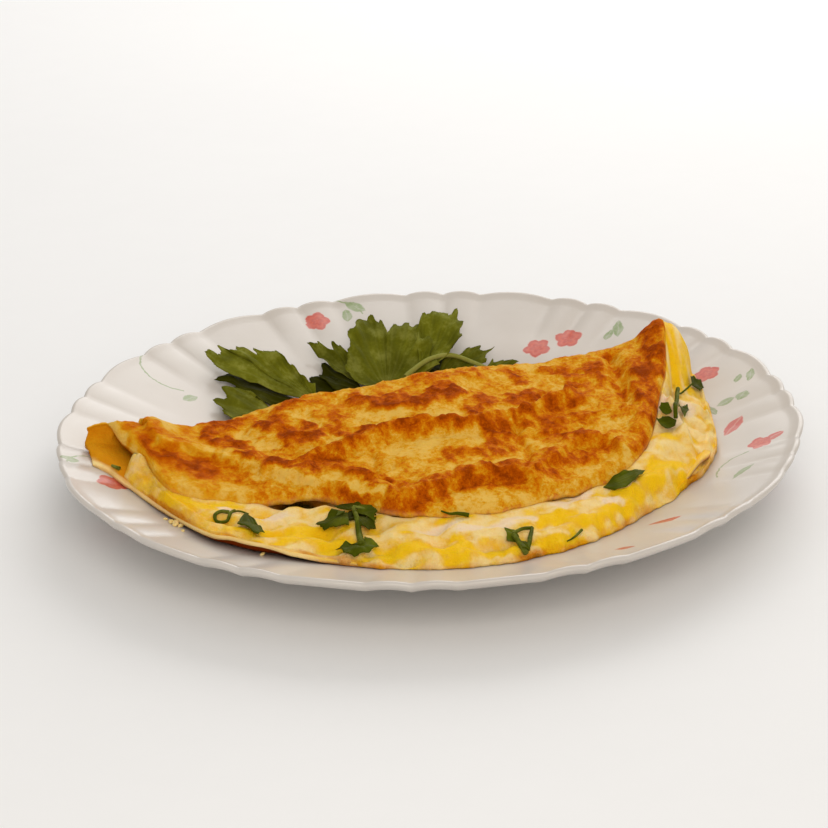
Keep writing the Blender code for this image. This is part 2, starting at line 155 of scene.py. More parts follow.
# Browned and pale patches: line, strength (below 0 for pale), half width. They reach further out than along:
# SPREAD is the share of a distance out that counts.
SPREAD = 0.62
SCORCHES = [
    ([(-7, 17), (2, 18), (15, 22), (20, 19)], 0.9, 4.6),
    ([(8, 22), (15, 25)], 0.6, 3.6),
    ([(23, 23), (29, 25)], 0.6, 2.6),
    ([(22, 32), (31, 30), (42, 30)], 0.65, 2.6),
    ([(41, 28), (51, 27)], 0.75, 2.8),
    ([(46, 39), (54, 36), (61, 34)], 0.7, 3.2),
    ([(45, 7), (47, 14)], 0.7, 3.0),
    ([(59, 10), (64, 14)], 0.5, 2.6),
    ([(8, 7), (20, 6), (32, 8)], 0.45, 2.6),
    ([(65, 25), (71, 22), (75, 20)], 0.75, 5.6),
    ([(-24, 42), (-15, 38), (-3, 37), (9, 40)], 0.8, 3.4),
    ([(10, 41), (20, 44)], 0.8, 3.6),
    ([(22, 43), (29, 51), (29, 58)], 0.85, 4.2),
    ([(8, 62), (18, 64), (25, 61), (32, 59)], 0.6, 4.0),
    ([(38, 43), (45, 50)], 0.8, 3.6),
    ([(45, 48), (49, 55), (52, 62)], 0.75, 4.0),
    ([(52, 50), (62, 50), (77, 52)], 0.6, 2.0),
    ([(34, 79), (44, 74), (52, 70), (59, 66)], 0.62, 4.2),
    ([(59, 68), (67, 69), (75, 68)], 0.28, 4.0),
    ([(-38, 52), (-32, 54), (-22, 65), (-15, 82)], 0.9, 3.4),
    ([(-11, 87), (2, 83), (16, 82.5), (29, 83)], 0.75, 4.6),
    ([(-17, 88), (-8, 86)], 0.5, 5.0),
    ([(96, 14), (90, 27), (86, 41), (83, 53)], 0.9, 4.8),
    ([(99, 5), (97, 14)], 0.6, 4.0),
    ([(82, 6), (80, 24), (78, 34)], 0.7, 2.0),
    ([(-65, -1), (-59, 8)], 0.75, 3.6),
    ([(-53, 8), (-48, 14)], 0.6, 3.2),
    ([(-34, 7), (-40, 13)], 0.7, 4.0),
    ([(-45, 19), (-40, 26), (-34, 29)], 0.9, 5.4),
    ([(-66, 9), (-60, 22), (-54, 34)], 0.75, 3.4),
    ([(-57, 35), (-49, 44), (-43, 52)], 0.85, 3.6),
    ([(-41, 52), (-29, 58), (-23, 67)], 0.9, 3.4),
    ([(-37, 47), (-30, 48), (-23, 48)], 0.6, 2.4),
    ([(-26, 18), (-24, 27), (-20, 33)], 0.6, 3.4),
    ([(-12, 10), (-10, 16)], 0.5, 3.0),
    ([(-84, 27), (-77, 30), (-70, 36), (-60, 45)], 0.35, 3.8),
    ([(-95, 5), (-91, 11), (-85, 17)], 0.4, 2.6),
    ([(-36, 74), (-28, 80)], 0.4, 3.4),
    ([(-84, 19), (-67, 29), (-53, 49), (-40, 60)], -0.7, 1.8),
    ([(-53, 15), (-50, 22), (-46, 28)], -0.75, 2.8),
    ([(-81, 4), (-75, 12), (-69, 19)], -0.5, 3.0),
    ([(-85, 24), (-79, 33), (-72, 40)], 0.4, 5.0),
    ([(-35, 10), (-30, 16), (-28, 21)], -0.7, 2.8),
    ([(-37, 36), (-28, 39), (-20, 41)], -0.5, 2.4),
    ([(-40, 60), (-30, 67), (-21, 80)], -0.8, 1.6),
    ([(17, 55), (7, 53), (-8, 54)], -0.7, 4.0),
    ([(17, 37), (25, 17)], -0.6, 2.0),
    ([(-14, 28), (2, 29), (16, 31)], -0.6, 2.8),
    ([(30, 36), (40, 37)], -0.5, 2.0),
    ([(23, 71), (32, 66), (39, 64)], -0.45, 3.0),
    ([(-6, 70), (4, 73), (14, 73)], -0.4, 4.0),
    ([(47, 81), (56, 78), (66, 76)], -0.5, 3.0),
    ([(5, 94), (18, 92), (32, 91)], -0.65, 3.2),
    ([(58, 58), (70, 59)], -0.45, 3.0),
    ([(74, 30), (78, 42)], -0.35, 3.0),
    ([(-98, 0), (-95.5, 10), (-93, 19)], -0.9, 1.5),
]

# ------------------------------------------------------------------ soft egg
# Places of pale set white, and of bright yolk: along, out, half length, half width, turn in degrees.
WHITES = [
    (-57, 73, 8, 3.2, 12), (-6, 101, 8, 2.6, 4), (4, 106, 7, 2.4, 0), (13, 106, 6, 2.2, 0),
    (21, 103, 7, 2.2, -6), (38, 96, 6, 3.4, -20), (45, 92, 5, 2.6, -20), (54, 97, 5, 2.6, -20),
    (62, 88, 6, 2.2, -30), (89, 44, 6, 4, -60), (92, 55, 6, 3.4, -60), (99, 40, 8, 4.5, -60),
    (-70, 66, 5, 2.4, 30),
]
YOLKS = [
    (-85, 57, 9, 3.4, 50), (-74, 64, 9, 3, 30), (-60, 86, 8, 3.4, 26), (-47, 87, 9, 4, 12),
    (-40, 98, 8, 4, 16), (-20, 110, 10, 2.6, 8), (-5, 115, 9, 3, 0), (10, 119, 8, 2.4, 0),
    (29, 117, 9, 2.6, -8), (33, 103, 8, 2.6, -10), (44, 106, 6, 2.6, -20), (57, 100, 6, 2.4, -26),
    (62, 93, 5, 3, -30), (72, 86, 6, 3, -40), (80, 79, 7, 2.4, -20), (84, 84, 5, 2.6, -50),
]

# Crumbs on the plate: along, out, size.
CRUMBS = [
    (-88.7, 62.6, 1.0), (-87.4, 64.4, 1.3), (-86.2, 66.4, 1.0), (-88.3, 66.4, 0.7), (-86.4, 71.6, 0.6),
    (-64.5, 94.6, 0.8), (-90.2, 60.0, 0.6),
]

# ------------------------------------------------------------------ parsley
LEAF_THICK = 0.4
BLADE_STEPS, BLADE_RINGS = 14, 13
RIB_WIDTH = 0.45
TIP_WIDTH = 1.4
GARNISH_SEED, HERB_SEED = 81, 111
GARNISH_STALK_SEED, HERB_STALK_SEED = 7, 11
# These herbs may lie over the folded sheet; the others only meet the soft egg and the plate.
HERBS_ON_SHEET = ("herb_oval", "herb_right")
# Each blade: base x, y, height above the plate there, lift at its edge, painted shade (0 dark to 1 light),
# and its tips in turn as x, y and how deep the notch after it goes.
GARNISH = {
    "parsley_leaf_left": [
        (-41, 60, 3.6, 3.2, 0.95, [
            (-79, 66, 0.03), (-83.5, 72.5, 0.07), (-78.5, 80, 0.09), (-75, 77.5, 0.05), (-72, 82, 0.13),
            (-65.5, 82.5, 0.05), (-61, 81.5, 0.05), (-56.5, 82, 0.14), (-50, 75, 0.1), (-46, 70, 0.1),
            (-41.5, 66, 0.0)]),
        # A dark lower blade: painted shade under the upper blade's edge.
        (-40, 60, 1.6, 0.8, 0.1, [
            (-52, 57, 0.05), (-63, 57, 0.1), (-73, 60, 0.1), (-80, 66, 0.05), (-74, 72, 0.0)]),
    ],
    "parsley_leaf_low": [
        (-50, 51, 2.0, 1.4, 0.8, [
            (-58, 55, 0.04), (-65, 59.5, 0.06), (-71, 61, 0.08), (-76.5, 56.5, 0.1), (-79.5, 48.5, 0.06),
            (-75, 40, 0.08), (-67, 38.5, 0.06), (-57, 42, 0.0)]),
    ],
    "parsley_leaf_middle": [
        # These two are near-black fills: painted shade in the gaps between the leaves.
        (-22, 68, 0.8, 0.4, 0.0, [
            (-34, 62, 0.0), (-47, 62, 0.04), (-50, 70, 0.08), (-44, 78, 0.08), (-36, 80, 0.0)]),
        (-24, 72, 1.4, 0.9, 0.05, [(-34, 70, 0.0), (-41, 76, 0.05), (-40, 84, 0.05), (-32, 86, 0.0)]),
        (-25, 75, 2.6, 2.6, 0.6, [
            (-37, 80, 0.05), (-45.5, 91, 0.06), (-41, 92, 0.17), (-36, 92.5, 0.05), (-32.5, 91.5, 0.1),
            (-29, 89, 0.0)]),
        # A near-black fill lying on the plate: painted shade under the stalk's arch.
        (5, 83, 0.5, 0.2, 0.0, [
            (-3, 82, 0.0), (-2, 90, 0.0), (4, 94, 0.0), (12, 91.5, 0.0), (14, 85, 0.0)]),
        (-15, 72, 2.4, 5.2, 0.8, [
            (-26, 69, 0.0), (-31, 76, 0.03), (-30, 84, 0.06), (-30, 97, 0.08), (-26.5, 104, 0.05),
            (-21, 108.5, 0.07), (-16.5, 105, 0.15), (-12, 103, 0.07), (-6.5, 103, 0.07), (-2, 102, 0.12),
            (3, 92, 0.1), (5, 80, 0.0)]),
        (-2, 78, 4.2, 5.0, 1.0, [
            (-4, 96, 0.05), (-1, 105.5, 0.06), (4, 108, 0.04), (8.5, 106.5, 0.06), (12.8, 108, 0.06),
            (15, 100.5, 0.07), (14.2, 91, 0.05), (9, 84, 0.0)]),
        (2, 77, 2.4, 2.0, 0.65, [
            (8, 89, 0.12), (11, 88.5, 0.1), (16.5, 90.5, 0.07), (21, 92, 0.1), (26.5, 90, 0.07),
            (23, 83, 0.06), (17, 79, 0.0)]),
    ],
    "parsley_leaf_right": [
        (18, 76, 1.8, 1.6, 0.6, [
            (25, 84.5, 0.12), (29, 84.5, 0.08), (33, 85, 0.06), (35, 81.5, 0.08), (30, 77, 0.0)]),
    ],
}
# The same in the egg, with places given as along and out.
HERBS = {
    "herb_cluster": [
        # A near-black fill: painted shade in the hollow between the cluster's leaves.
        (-31, 80, 0.3, 0.2, 0.03, [
            (-35.5, 84, 0.05), (-34.5, 88.5, 0.05), (-29, 90, 0.05), (-26, 86, 0.0)]),
        (-32.5, 82, 0.9, 0.8, 0.5, [
            (-37.5, 79, 0.06), (-44.8, 86, 0.04), (-42.5, 88.5, 0.08), (-38.5, 91, 0.06),
            (-34.5, 92, 0.0)]),
        (-31.5, 80.5, 1.2, 1.4, 0.3, [
            (-36.5, 78.5, 0.14), (-33, 76, 0.1), (-29, 76.5, 0.12), (-26, 79, 0.0)]),
        (-30, 83, 1.4, 0.8, 0.65, [
            (-27.5, 78.5, 0.1), (-24.6, 82.5, 0.08), (-23.6, 88, 0.12), (-25.5, 92, 0.0)]),
        (-30.5, 86, 0.8, 0.9, 0.35, [
            (-24.5, 90, 0.1), (-25.7, 94, 0.08), (-28.5, 95.5, 0.12), (-31.5, 94, 0.0)]),
        (-33.5, 82, 2.0, 0.8, 1.0, [(-37.5, 85.5, 0.1), (-36, 82, 0.0)]),
    ],
    "herb_hanging": [
        (-33.5, 104, 0.5, 0.6, 0.75, [
            (-31.3, 98.6, 0.0), (-35.6, 102, 0.0), (-37.2, 97.3, 0.03), (-41.5, 100.5, 0.1),
            (-40.3, 107, 0.1), (-36.8, 108.6, 0.12), (-31.8, 108.6, 0.1), (-27.6, 105.5, 0.08),
            (-29.4, 100.2, 0.04), (-30.9, 98.9, 0.0)]),
    ],
    "herb_left": [
        (-65.1, 71.5, 0.6, 0.5, 0.75, [
            (-68.1, 76.5, 0.02), (-70.4, 84, 0.12), (-64.8, 91.5, 0.04), (-62, 89, 0.03),
            (-62.4, 82, 0.0)]),
    ],
    "herb_front": [
        (17, 115, 0.6, 0.5, 0.65, [
            (16.4, 111.6, 0.12), (13, 110.8, 0.14), (12.2, 116.4, 0.1), (15, 118.6, 0.0)]),
        (16, 117, 0.9, 0.5, 0.45, [(18.3, 118.5, 0.03), (18.2, 123.4, 0.05), (16, 122.5, 0.0)]),
    ],
    "herb_oval": [
        (53.6, 90.6, 0.4, 0.5, 0.7, [
            (57, 92.6, 0.02), (61, 92.4, 0.02), (65, 90.6, 0.03), (69, 87.2, 0.02), (71, 84, 0.02),
            (68, 82.8, 0.02), (63.5, 84, 0.02), (58.5, 87, 0.0)]),
    ],
    "herb_right": [
        (90.5, 58, 0.6, 0.8, 0.45, [
            (88.4, 62.6, 0.08), (85.4, 61.4, 0.06), (82.8, 58, 0.06), (86, 55.8, 0.04), (88.2, 56.8, 0.0)]),
        (90.6, 53, 0.7, 0.5, 1.0, [(88, 54, 0.05), (86, 51.6, 0.05), (87.6, 49.4, 0.05), (90, 50.6, 0.0)]),
        (93.2, 52, 0.5, 0.4, 0.7, [
            (96.4, 45.8, 0.02), (99.2, 39, 0.02), (101.4, 38.4, 0.02), (100.8, 42, 0.02), (96.6, 49, 0.0)]),
        (108.6, 22.4, 0.5, 0.4, 0.4, [
            (109.2, 18.6, 0.03), (111.4, 16, 0.03), (114, 16.8, 0.03), (113.8, 20.4, 0.03),
            (111.4, 23.2, 0.0)]),
    ],
}
# Stalks and slivers: each line as (x or along, y or out, height over what is under it), and its radius at
# the start and the end.
GARNISH_STALKS = [
    ([(-8, 76, 5), (-2, 80.5, 7), (4, 83.5, 7.4), (11, 84, 6.6), (17, 82, 5), (24, 79.5, 3)], 1.0, 0.8),
    ([(-44, 61, 4), (-36, 64, 4), (-27, 68, 3.4), (-16, 71, 3)], 0.8, 1.1),
]
CLUSTER_STALKS = [
    ([(-30.5, 81, 1.8), (-31, 88, 1.3), (-31.8, 94, 0.9), (-32.6, 99, 0.8), (-33, 103, 0.9)], 0.7, 1.3),
    ([(-30.5, 81, 2.2), (-27, 83.5, 1.8), (-24.5, 88, 1.2)], 0.6, 0.3),
]
HERB_STALKS = [
    ([(-70.4, 70.6, 0.5), (-73, 69.8, 0.4), (-75.4, 71.6, 0.4), (-75.6, 74.4, 0.3), (-74.2, 76, 0.3),
      (-72, 74.6, 0.4), (-70, 71.2, 0.5), (-68, 67, 0.5)], 0.62, 0.55),
    ([(-70, 71, 0.6), (-66.5, 67.4, 0.6), (-63.6, 69, 0.5)], 0.35, 0.3),
    ([(-4.2, 96, 0.3), (-1.6, 97.4, 0.4), (1, 98, 0.4), (4.4, 99.4, 0.4)], 0.25, 0.75),
    ([(39.4, 112, 0.4), (35.8, 115.4, 0.4), (32.4, 118, 0.3)], 0.5, 0.25),
    ([(15.4, 114.4, 0.9), (16, 118.6, 0.8), (17, 123, 0.6)], 0.8, 1.0),
    ([(23, 110.2, 0.7), (20.6, 115.6, 0.8), (17.8, 122, 0.7)], 0.6, 0.9),
    ([(15.4, 113.4, 0.8), (19, 111.6, 0.8), (23, 110, 0.7)], 0.6, 0.6),
    ([(101.8, 26.5, 0.8), (99.4, 32.5, 1.0), (96, 41, 1.0), (92, 52, 0.9), (90.6, 57, 0.8)], 0.8, 0.75),
    ([(99.8, 31, 1.0), (102.3, 28.3, 0.8), (105.6, 25.3, 0.8), (109, 22, 1.4)], 0.35, 0.35),
    ([(-101.4, 20.6, 0.4), (-99.2, 23.4, 0.4)], 0.5, 0.7),
]


def smooth(value):
    """0 below 0, 1 above 1 and an even S between."""
    held = np.clip(value, 0.0, 1.0)
    return held * held * (3 - 2 * held)


def ramp(value, start, span):
    """0 up to the start and 1 from a span further on; a span below 0 climbs the other way."""
    return smooth((value - start) / span)


def bell(value, middle, width):
    """1 at the middle, falling off to both sides over about the width."""
    return np.exp(-(((value - middle) / width) ** 2))


def through(points, value):
    """A smooth curve through a few (place, height) points, read at every value."""
    places, heights = np.array(points, float).T
    value = np.asarray(value, float)
    slopes = np.gradient(heights, places)
    spans = np.clip(np.searchsorted(places, value, side="right") - 1, 0, len(places) - 2)
    width = places[spans + 1] - places[spans]
    share = np.clip((value - places[spans]) / width, 0.0, 1.0)
    ease = share * share * (3 - 2 * share)
    lead = share * (1 - share) ** 2 * width * slopes[spans]
    tail = -share * share * (1 - share) * width * slopes[spans + 1]
    return heights[spans] * (1 - ease) + heights[spans + 1] * ease + lead + tail


# The length after which the noise repeats, in its own cells.
GRAIN_CELLS = 256


def grain(x, y, seed):
    """Smooth gradient noise at every place, about -1 to 1, and the same on every run."""
    source = np.random.RandomState(seed)
    order = source.permutation(GRAIN_CELLS)
    turns = source.uniform(0, FULL_TURN, GRAIN_CELLS)
    x, y = np.broadcast_arrays(np.asarray(x, float), np.asarray(y, float))
    cell_x, cell_y = np.floor(x).astype(int), np.floor(y).astype(int)
    part_x, part_y = x - cell_x, y - cell_y

    def corner(step_x, step_y):
        first = order[(cell_x + step_x) % GRAIN_CELLS]
        turn = turns[order[(first + cell_y + step_y) % GRAIN_CELLS]]
        return np.cos(turn) * (part_x - step_x) + np.sin(turn) * (part_y - step_y)

    ease_x = part_x ** 3 * (part_x * (part_x * 6 - 15) + 10)
    ease_y = part_y ** 3 * (part_y * (part_y * 6 - 15) + 10)
    low = corner(0, 0) * (1 - ease_x) + corner(1, 0) * ease_x
    high = corner(0, 1) * (1 - ease_x) + corner(1, 1) * ease_x
    return 1.5 * (low * (1 - ease_y) + high * ease_y)


def near_line(x, y, line):
    """(distance, side) of every place from a line of points; side is 1 on its left and -1 on its right."""
    nearest = np.full(np.shape(x), np.inf)
    side = np.ones(np.shape(x))
    for (ax, ay), (bx, by) in zip(line, line[1:]):
        dx, dy = bx - ax, by - ay
        share = np.clip(((x - ax) * dx + (y - ay) * dy) / (dx * dx + dy * dy), 0.0, 1.0)
        gap = np.hypot(x - ax - share * dx, y - ay - share * dy)
        turn = np.where((x - ax) * dy - (y - ay) * dx < 0, 1.0, -1.0)
        side = np.where(gap < nearest, turn, side)
        nearest = np.minimum(nearest, gap)
    return nearest, side


# ------------------------------------------------------------------ meshes
# Points nearer than this, in metres, become one where two faces meet and where a turned profile closes.
SEAM_WELD = 0.000004
TURN_WELD = 0.00002


def put(name, data):
    """A new object in the scene."""
    made = bpy.data.objects.new(name, data)
    bpy.context.scene.collection.objects.link(made)
    return made


def make_piece(name, mesh, replaced, material=None):
    """Make a mesh a piece that rides with the body and stands for CAD nodes."""
    made = put(name, mesh)
    if material is not None:
        mesh.materials.append(material)
    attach(made, BODY)
    if replaced:
        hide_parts(*replaced)


def turn_outward(mesh, weld=0.0):
    """Weld a closed mesh's near points, if asked, and turn its faces outwards."""
    closing = bmesh.new()
    closing.from_mesh(mesh)
    if weld:
        bmesh.ops.remove_doubles(closing, verts=closing.verts, dist=weld)
    bmesh.ops.recalc_face_normals(closing, faces=closing.faces)
    closing.to_mesh(mesh)
    closing.free()


def join_rows(first, second):
    """Triangles between two rows of points of different lengths that start and end side by side."""
    faces = []
    i, j = 0, 0
    ends = len(first) - 1, len(second) - 1
    while i < ends[0] or j < ends[1]:
        if j == ends[1] or (i < ends[0] and (i + 1) * ends[1] <= (j + 1) * ends[0]):
            faces.append((first[i], first[i + 1], second[j]))
            i += 1
        else:
            faces.append((first[i], second[j + 1], second[j]))
            j += 1
    return faces


def quilt(rows, columns, start):
    """Quads over a grid of points numbered row by row."""
    index = start + np.arange(rows * columns).reshape(rows, columns)
    corners = index[:-1, :-1], index[1:, :-1], index[1:, 1:], index[:-1, 1:]
    return np.stack([c.ravel() for c in corners], axis=1).tolist()


def two_faced(name, skins, attributes):
    """One closed mesh from pairs of grids: a dense face and the face behind it, sewn at the edges.

    skins holds (front (rows, columns, 3), back (rows, fewer columns, 3)) in millimetres, and attributes
    holds (name, [(front values, back values) for each pair]).
    """
    points, faces = [], []
    for front, back in skins:
        rows, wide, narrow = front.shape[0], front.shape[1], back.shape[1]
        start = sum(len(p) for p in points)
        behind = start + rows * wide
        points += [front.reshape(-1, 3), back.reshape(-1, 3)]
        faces += quilt(rows, wide, start)
        faces += [face[::-1] for face in quilt(rows, narrow, behind)]
        ahead = start + np.arange(rows * wide).reshape(rows, wide)
        after = behind + np.arange(rows * narrow).reshape(rows, narrow)
        for row in (0, -1):
            faces += join_rows(ahead[row].tolist(), after[row].tolist())
        for column in (0, -1):
            faces += join_rows(ahead[:, column].tolist(), after[:, column].tolist())
    mesh = bpy.data.meshes.new(name)
    mesh.from_pydata((np.concatenate(points) * MM).tolist(), [], faces)
    for label, values in attributes:
        layer = mesh.attributes.new(label, "FLOAT", "POINT")
        flat = np.concatenate([part.ravel() for pair in values for part in pair])
        layer.data.foreach_set("value", flat.astype(np.float32))
    turn_outward(mesh, SEAM_WELD)
    mesh.shade_smooth()
    return mesh


# ------------------------------------------------------------------ nodes
def node(tree, kind, inputs=(), output=0, **settings):
    """An output of a new node with these inputs and settings; an input is a socket to link or a value."""
    made = tree.nodes.new(kind)
    for name, value in settings.items():
        setattr(made, name, value)
    pairs = inputs.items() if isinstance(inputs, dict) else enumerate(inputs)
    for key, value in pairs:
        if isinstance(value, bpy.types.NodeSocket):
            tree.links.new(value, made.inputs[key])
        elif value is not None:
            made.inputs[key].default_value = value
    return made.outputs[output]


def maths(tree, operation, *values, clamp=False):
    """A Math node."""
    return node(tree, "ShaderNodeMath", values, operation=operation, use_clamp=clamp)


def plus(tree, first, second):
    """The sum of two sockets or values."""
    return maths(tree, "ADD", first, second)


def minus(tree, first, second):
    """The first less the second."""
    return maths(tree, "SUBTRACT", first, second)


def times(tree, first, second):
    """The product of two sockets or values."""
    return maths(tree, "MULTIPLY", first, second)


def over(tree, first, second):
    """The first divided by the second."""
    return maths(tree, "DIVIDE", first, second)


def scaled(tree, vector, size):
    """A vector times a size."""
    return node(tree, "ShaderNodeVectorMath", {0: vector, 3: size}, operation="SCALE")


def offset(tree, noise, size):
    """A noise's colour as a move to any side, of about that size."""
    centred = node(tree, "ShaderNodeVectorMath", (noise, (0.5, 0.5, 0.5)), operation="SUBTRACT")
    return scaled(tree, centred, size)


def parts(tree, vector):
    """The x, y and z of a vector."""
    return node(tree, "ShaderNodeSeparateXYZ", (vector,)).node.outputs


def blend_colour(tree, share, first, second):
    """A colour Mix node between two sockets or stored colours."""
    inputs = {0: share}
    for key, tint in ((6, first), (7, second)):
        inputs[key] = tint if isinstance(tint, bpy.types.NodeSocket) else (*tint, 1.0)
    return node(tree, "ShaderNodeMix", inputs, 2, data_type="RGBA")


def ranged(tree, value, low, high, to_low=0.0, to_high=1.0):
    """A Map Range node with smooth ends."""
    inputs = (value, low, high, to_low, to_high)
    return node(tree, "ShaderNodeMapRange", inputs, interpolation_type="SMOOTHSTEP")


def attribute(tree, name):
    """A mesh's own value, by name."""
    return node(tree, "ShaderNodeAttribute", (), 2, attribute_name=name)


def socket_kind(label, default=None):
    """The kind of a group's socket, from its name and its default."""
    if label in ("Geometry", "Material"):
        return "NodeSocket" + label
    return "NodeSocketInt" if isinstance(default, int) else "NodeSocketFloat"


def new_group(name, inputs, outputs, kind="ShaderNodeTree"):
    """An empty node group whose inputs have defaults. Returns the tree, its inputs and its end's inputs."""
    tree = bpy.data.node_groups.new(name, kind)
    for label, default in inputs.items():
        socket = tree.interface.new_socket(label, in_out="INPUT", socket_type=socket_kind(label, default))
        if default is not None:
            socket.default_value = default
    for label in outputs:
        tree.interface.new_socket(label, in_out="OUTPUT", socket_type=socket_kind(label))
    start = tree.nodes.new("NodeGroupInput")
    end = tree.nodes.new("NodeGroupOutput")
    return tree, start.outputs, end.inputs


def use_group(tree, group, inputs, output):
    """A node that uses a group; returns its named output."""
    kind = tree.bl_idname.replace("Tree", "Group")
    return node(tree, kind, inputs, output, node_tree=group)


def group_named(name, build):
    """The node group of that name, built the first time it is asked for."""
    return bpy.data.node_groups.get(name) or build(name)


def mottle_group(name):
    """Cloudy variation at two scales: a mask of 0 to 1 and a height that goes with it."""
    inputs = {"Scale": 100.0, "Detail Scale": 600.0, "Detail Share": 0.35, "Sharpness": 0.25}
    tree, given, made = new_group(name, inputs, ("Mask", "Height"))
    place = node(tree, "ShaderNodeTexCoord", (), "Object")
    clouds = {"Vector": place, "Scale": given["Scale"], "Detail": 3.0}
    broad = node(tree, "ShaderNodeTexNoise", clouds, "Fac")
    flecks = {"Vector": place, "Scale": given["Detail Scale"], "Detail": 4.0, "Roughness": 0.6}
    fine = node(tree, "ShaderNodeTexNoise", flecks, "Fac")
    both = node(tree, "ShaderNodeMix", {0: given["Detail Share"], 2: broad, 3: fine}, 0)
    low = minus(tree, 0.5, given["Sharpness"])
    high = plus(tree, 0.5, given["Sharpness"])
    tree.links.new(ranged(tree, both, low, high), made["Mask"])
    tree.links.new(both, made["Height"])
    return tree


def mottle(tree, output, scale, detail_scale, detail_share=0.35, sharpness=0.25):
    """The Mask or the Height of a mottle of these scales."""
    inputs = {"Scale": scale, "Detail Scale": detail_scale, "Detail Share": detail_share}
    inputs["Sharpness"] = sharpness
    return use_group(tree, group_named("Mottle", mottle_group), inputs, output)


def new_material(name, **constants):
    """A material whose shader has these constants. Returns the material, its tree and its shader."""
    material = bpy.data.materials.new(name)
    material.use_nodes = True
    tree = material.node_tree
    shader = tree.nodes["Principled BSDF"]
    for label, value in constants.items():
        shader.inputs[label.replace("_", " ")].default_value = value
    return material, tree, shader


def bump(tree, shader, height, distance, strength, under=None):
    """A bump of that depth in metres, over an earlier one if there is one."""
    inputs = {"Strength": strength, "Distance": distance, "Height": height, "Normal": under}
    made = node(tree, "ShaderNodeBump", inputs)
    tree.links.new(made, shader.inputs["Normal"])
    return made


# ------------------------------------------------------------------ the plate's print
# Flowers: x, y, size, turn. Leaves and buds: x, y, half length, half width, turn. Stems: centre x, y,
# radius, where they start and how far they sweep, in degrees.
FLOWERS = [
    (-41.4, 111, 5.2, 10), (41.8, 91.5, 5.4, 40), (53.7, 94, 5.6, 80), (102, 50, 5.4, 20),
    (-108.5, -31, 6.0, 60), (114.5, -16, 4.6, 30),
]
LEAVES = [
    (-27, 121, 5.0, 2.6, 150), (-30, 116, 4.0, 2.2, 100), (-87, 52, 3.6, 2.2, 40),
    (-124, -19, 3.6, 1.9, 10), (72.7, 94, 5.4, 2.2, 85), (69, 91.5, 3.5, 1.8, 60), (117, 40, 4.0, 1.8, 75),
    (112.5, 40, 3.0, 1.4, 60), (106.8, 25.6, 3.6, 2.6, 20), (112.6, 26.4, 3.4, 2.8, 60),
    (101.2, 23, 5.0, 1.8, 110), (106.3, -38, 6.2, 1.7, 45),
]
BUDS = [
    (107.3, 5.4, 7.2, 3.1, 58), (119.4, -14.4, 4.4, 2.4, 25), (77.2, -70, 6.2, 2.2, 7),
    (62, -98.6, 3.6, 1.8, -15),
]
STEMS = [(-92, 70, 14, 150, 130), (-36, 110, 14, 30, 80), (112, -35, 14.4, 98, 88), (-116, -22, 9, 60, 120)]
PETALS = 5
# How far the painter's hand strays, in millimetres.
HAND_SHAKE = 1.6
# Inputs that every mark's node group has.
PLACED = {"X": 0.0, "Y": 0.0, "Turn": 0.0}


def turned_place(tree, given):
    """Object coordinates in millimetres, centred on a mark and turned with it: its x and y."""
    place = scaled(tree, node(tree, "ShaderNodeTexCoord", (), "Object"), 1 / MM)
    wobble = node(tree, "ShaderNodeTexNoise", {"Vector": place, "Scale": 0.35, "Detail": 2.0}, "Color")
    shaky = offset(tree, wobble, HAND_SHAKE)
    right, up, _ = parts(tree, node(tree, "ShaderNodeVectorMath", (place, shaky), operation="ADD"))
    x = minus(tree, right, given["X"])
    y = minus(tree, up, given["Y"])
    turn = maths(tree, "RADIANS", given["Turn"])
    cosine, sine = maths(tree, "COSINE", turn), maths(tree, "SINE", turn)
    across = plus(tree, times(tree, x, cosine), times(tree, y, sine))
    upward = minus(tree, times(tree, y, cosine), times(tree, x, sine))
    return across, upward


def from_middle(tree, x, y):
    """How far a place lies from the middle."""
    return maths(tree, "SQRT", plus(tree, maths(tree, "POWER", x, 2.0), maths(tree, "POWER", y, 2.0)))


def flower_group(name):
    """A rosette of five round petals, with rings of thin paint."""
    tree, given, made = new_group(name, {**PLACED, "Size": 5.0}, ("Paint", "Depth"))
    x, y = turned_place(tree, given)
    far = over(tree, from_middle(tree, x, y), given["Size"])
    angle = times(tree, maths(tree, "ARCTAN2", y, x), PETALS / 2)
    lobes = maths(tree, "ABSOLUTE", maths(tree, "COSINE", angle))
    edge = plus(tree, 0.8, times(tree, lobes, 0.22))
    inner = minus(tree, edge, 0.12)
    paint = ranged(tree, far, inner, edge, 1.0, 0.0)
    ring = plus(tree, far, times(tree, lobes, -0.25))
    rings = maths(tree, "SINE", times(tree, ring, 13.0))
    depth = plus(tree, 0.72, times(tree, rings, 0.28))
    tree.links.new(paint, made["Paint"])
    tree.links.new(depth, made["Depth"])
    return tree


def leaf_mark_group(name):
    """A pointed leaf with a thin bare line for its rib."""
    tree, given, made = new_group(name, {**PLACED, "Half Length": 5.0, "Half Width": 2.2}, ("Paint",))
    x, y = turned_place(tree, given)
    share = over(tree, x, given["Half Length"])
    edge = minus(tree, 1.0, maths(tree, "POWER", share, 2.0))
    side = over(tree, maths(tree, "ABSOLUTE", y), given["Half Width"])
    paint = ranged(tree, minus(tree, edge, side), 0.0, 0.22)
    rib = ranged(tree, side, 0.05, 0.2, 0.75, 1.0)
    tree.links.new(times(tree, paint, rib), made["Paint"])
    return tree


